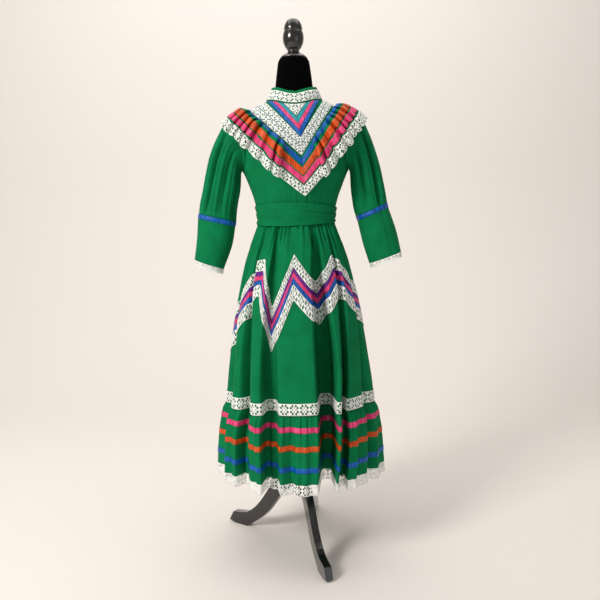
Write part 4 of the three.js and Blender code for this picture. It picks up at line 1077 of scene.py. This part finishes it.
for side, label in SLEEVE_SIDE.items():
    surface = sleeve_surface(side)

    def rows_of(low, high, count):
        return joined(surface(TURNS[None, :], np.linspace(high, low, count)[:, None]))

    grid = rows_of(-1, RIBBON_ROW, 54)
    upper = cloth(f"sleeve_puff_{label}", grid, CLOTH, COTTON, [f"sleeve_upper_{label}"])
    grid = rows_of(RIBBON_ROW + 0.03, CUFF_ROW, 28)
    lower = cloth(f"sleeve_forearm_{label}", grid, CLOTH, COTTON, [f"sleeve_lower_{label}"])
    grid = rows_of(RIBBON_ROW + 0.05, RIBBON_ROW + 1, 5)
    grid = joined(grid + normals_of(grid) * RAISED_RIBBON)
    ribbon = cloth(f"sleeve_ribbon_band_{label}", grid, SATIN, BLUE, [f"sleeve_ribbon_{label}"])
    flipped = lambda t, r, f=surface: f(t, -r)
    cuff = lace(f"cuff_lace_band_{label}", flipped, -CUFF_ROW - 0.9, -CUFF_ROW - 0.02, f"cuff_lace_{label}",
                lift=-0.4, step=(1.0, 0.05))


# Sash. Its foot and top: height, how much higher at the front, and how much higher at the right.
SASH_FOOT = dict(z=995, front=-5.5, right=3)
SASH_TOP = dict(z=1040, front=17, right=-3)
# The share of a fold over which it rises before it drops to the next.
SASH_RISE = 0.86


def sash_surface(bearing, row):
    """The wrapped sash: row 0 at its foot, 1 at its top, with slanting folds that overlap."""
    bearing, row = paired(bearing, row)
    b = np.radians(bearing)
    back = np.cos(b) < 0
    foot = SASH_FOOT["z"] + SASH_FOOT["front"] * np.cos(b) + SASH_FOOT["right"] * np.sin(b)
    top = SASH_TOP["z"] + SASH_TOP["front"] * (0.5 + 0.5 * np.cos(b)) ** 2 + SASH_TOP["right"] * np.sin(b)
    z = foot + (top - foot) * row
    above = z >= WAIST_Z
    wide = np.where(above, straight_at(TORSO, z, "half"), straight_at(SKIRT, z, "half"))
    deep = np.where(above, depth_at(TORSO, z, back), straight_at(SKIRT, z, "depth"))
    phase = 2.3 * row + 0.75 * np.sin(0.9 * b + 0.5) + 0.1 * np.sin(3 * b)
    fold = phase % 1.0
    drop = 0.5 + 0.5 * np.cos(np.pi * (fold - SASH_RISE) / (1 - SASH_RISE))
    lap = np.where(fold < SASH_RISE, fold / SASH_RISE, drop)
    edges = smooth(0, 0.06, row) * smooth(1, 0.95, row)
    fine = 0.7 * np.sin(34 * row + 5 * np.sin(1.3 * b + 0.7)) + 0.4 * np.sin(57 * row + 4 * np.sin(2 * b))
    off = 4.2 - 1.5 * smooth(0.75, 1, row) - 1.2 * smooth(0.25, 0, row) + 2.2 * lap * edges
    off = off + 0.7 * fine * edges * (0.5 + 0.5 * np.sin(1.5 * b + 1))
    return polar(bearing, ellipse_radius(bearing, wide + off, deep + off), z)


sash_ring = np.linspace(-180, 180, 201)
grid = joined(sash_surface(sash_ring[None, :], np.linspace(0, 1, 46)[:, None]))
sash = cloth("wrapped_sash", grid, CLOTH, COTTON, ["sash"])


# Dress form and stand.
def spun(name, profile, steps, material, nodes):
    """A turned piece: its profile of radius and height in millimetres, spun round the stand's axis."""
    bpy.ops.object.select_all(action="DESELECT")
    bpy.ops.mesh.primitive_circle_add(vertices=len(profile), radius=0.01)
    obj = bpy.context.object
    obj.name = obj.data.name = name
    for vertex, (r, z) in zip(obj.data.vertices, profile):
        vertex.co = ((AXIS[0] + r) * MM, AXIS[1] * MM, z * MM)
    outline = bmesh.new()
    outline.from_mesh(obj.data)
    outline.verts.ensure_lookup_table()
    closing = outline.edges.get((outline.verts[0], outline.verts[-1]))
    outline.edges.remove(closing)
    outline.to_mesh(obj.data)
    outline.free()
    bpy.ops.object.mode_set(mode="EDIT")
    bpy.ops.mesh.select_all(action="SELECT")
    bpy.ops.mesh.spin(steps=steps, angle=math.tau, center=(AXIS[0] * MM, AXIS[1] * MM, 0), axis=(0, 0, 1))
    bpy.ops.mesh.select_all(action="SELECT")
    bpy.ops.mesh.remove_doubles(threshold=2e-5)
    bpy.ops.mesh.normals_make_consistent(inside=False)
    bpy.ops.object.mode_set(mode="OBJECT")
    return finish_piece(obj, material, nodes)


def curve_through(profile, per):
    """More points along a profile, rounded through the ones given."""
    points = np.array(profile, float)
    index = np.arange(len(points))
    fine = np.linspace(0, len(points) - 1, (len(points) - 1) * per + 1)
    table = dict(z=index, r=points[:, 0], h=points[:, 1])
    return list(zip(table_at(table, fine, "r"), table_at(table, fine, "h")))


FINIAL = [
    (38, 1474.3), (39, 1477.5), (34, 1483), (26, 1488), (18.5, 1493), (17.5, 1498), (22, 1504), (26, 1511),
    (29.5, 1521), (31, 1532), (30, 1543), (27.5, 1552),
]
FINIAL_CAP = [(25.5, 1554.5), (27, 1557), (26.5, 1564), (24, 1572), (19.5, 1580), (12, 1586.5), (0, 1589)]
HUB = [
    (13, 146), (23, 153), (28, 166), (28, 240), (22, 248), (29, 258), (22, 268), (17, 284), (17, 329.7),
    (0, 329.7),
]
POLE = [(0, 330), (15.4, 330), (16, 330.6), (16, 819.1), (15.4, 819.7), (0, 819.7)]
finial = [(0, 1474.3)] + curve_through(FINIAL, 4) + curve_through(FINIAL_CAP, 5)
hub = [(0, 146)] + curve_through(HUB[:3], 4) + HUB[3:4] + curve_through(HUB[4:8], 4) + HUB[8:]
spun("finial", finial, 64, LACQUER, ["form_finial"])
spun("leg_hub", hub, 64, LACQUER, ["stand_hub"])
spun("centre_pole", POLE, 48, ENAMEL, ["stand_pole"])

# The form's cover, closed at its foot and under the finial.
a = np.radians(np.linspace(-180, 180, 97))[None, :]
z = np.concatenate([np.linspace(820, 1300, 60), np.linspace(1300, 1474, 52)[1:]])[:, None]
x, y = straight_at(FORM, z, "half") * np.sin(a), -depth_at(FORM, z, np.cos(a) < 0) * np.cos(a)
form = mesh_of("form_cover", joined(np.stack([x, y, z + 0 * a], -1)))
merge_doubles(form)
bpy.ops.object.mode_set(mode="EDIT")
bpy.ops.mesh.select_all(action="DESELECT")
bpy.ops.mesh.select_mode(type="EDGE")
bpy.ops.mesh.select_non_manifold()
bpy.ops.mesh.fill_holes(sides=0)
bpy.ops.object.mode_set(mode="OBJECT")
finish_piece(form, JERSEY, ["form_body"])

for leg_node in ("stand_leg_1", "stand_leg_2", "stand_leg_3"):
    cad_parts[leg_node].data.materials.clear()
    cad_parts[leg_node].data.materials.append(LACQUER)


bpy.data.objects.remove(LACE_TILE)

# Plain pale floor that curves up behind, soft light from the front left.
FLOOR = dict(half=4.0, near=-3.6, far=1.6, bend=1.4, wall=4.0)
bpy.ops.object.select_all(action="DESELECT")
bpy.ops.mesh.primitive_grid_add(x_subdivisions=1, y_subdivisions=40, size=1)
backdrop = bpy.context.object
backdrop.name = "backdrop"
sweep = []
for k in np.linspace(0, 1, 41):
    a = np.clip((k - 0.5) / 0.3, 0, 1) * math.pi / 2
    flat, upright = min(1, k / 0.5), max(0, (k - 0.8) / 0.2)
    sweep.append((FLOOR["near"] + flat * (FLOOR["far"] - FLOOR["near"]) + FLOOR["bend"] * math.sin(a),
                  FLOOR["bend"] * (1 - math.cos(a)) + upright * FLOOR["wall"]))
for i, vertex in enumerate(backdrop.data.vertices):
    y, z = sweep[i // 2]
    vertex.co = ((i % 2 * 2 - 1) * FLOOR["half"], y, z)
backdrop.data.shade_smooth()
made, tree, shader = new_material("matt_paper")
tone = node(tree, "ShaderNodeTexNoise", Scale=0.8, Detail=2.0)
ramp = node(tree, "ShaderNodeValToRGB", [("Fac", tone.outputs["Fac"])])
for i, colour in enumerate(("#EDE6E0", "#F0EAE5")):
    ramp.color_ramp.elements[i].color = linear(colour)
tree.links.new(shader.inputs["Base Color"], ramp.outputs["Color"])
shader.inputs["Roughness"].default_value = 0.95
backdrop.data.materials.append(made)


def soft_light(name, place_at, aim, size, watts, colour):
    bpy.ops.object.light_add(type="AREA", location=place_at)
    lamp = bpy.context.object
    lamp.name = name
    lamp.data.shape, lamp.data.size, lamp.data.energy = "SQUARE", size, watts
    lamp.data.color = linear(colour)[:3]
    lamp.rotation_euler = (Vector(aim) - Vector(place_at)).to_track_quat("-Z", "Y").to_euler()


soft_light("key", (-2.6, -2.7, 2.7), (0, 0, 0.9), 1.2, 125, "#FFFCF8")
soft_light("fill", (2.2, -3.0, 1.3), (0, 0, 0.8), 2.0, 9, "#F6F8FF")
soft_light("wall", (0.0, 0.9, 3.6), (0, 2.2, 0.3), 3.4, 58, "#FFFDFB")
world = bpy.data.worlds.new("studio")
bpy.context.scene.world = world
world.use_nodes = True
world.node_tree.nodes["Background"].inputs["Color"].default_value = linear("#F4F1EC")
world.node_tree.nodes["Background"].inputs["Strength"].default_value = 0.39
bpy.context.scene.view_settings.view_transform = "Standard"

# Camera at the photo's angle: chest height, tipped down a little, rolled a degree.
CAMERA = dict(x=7, y=-2220, z=1020, tip=6.6, roll=-0.955, focal_px=735, frame_px=600, sensor=36.0)
stand_at = np.array([CAMERA["x"], CAMERA["y"], CAMERA["z"]]) + AXIS
bpy.ops.object.camera_add(location=tuple(stand_at * MM))
camera = bpy.context.object
camera.data.sensor_width = CAMERA["sensor"]
camera.data.lens = CAMERA["sensor"] * CAMERA["focal_px"] / CAMERA["frame_px"]
tipped = Matrix.Rotation(math.radians(90 - CAMERA["tip"]), 3, "X")
camera.rotation_euler = (tipped @ Matrix.Rotation(math.radians(CAMERA["roll"]), 3, "Z")).to_euler()
bpy.context.scene.camera = camera
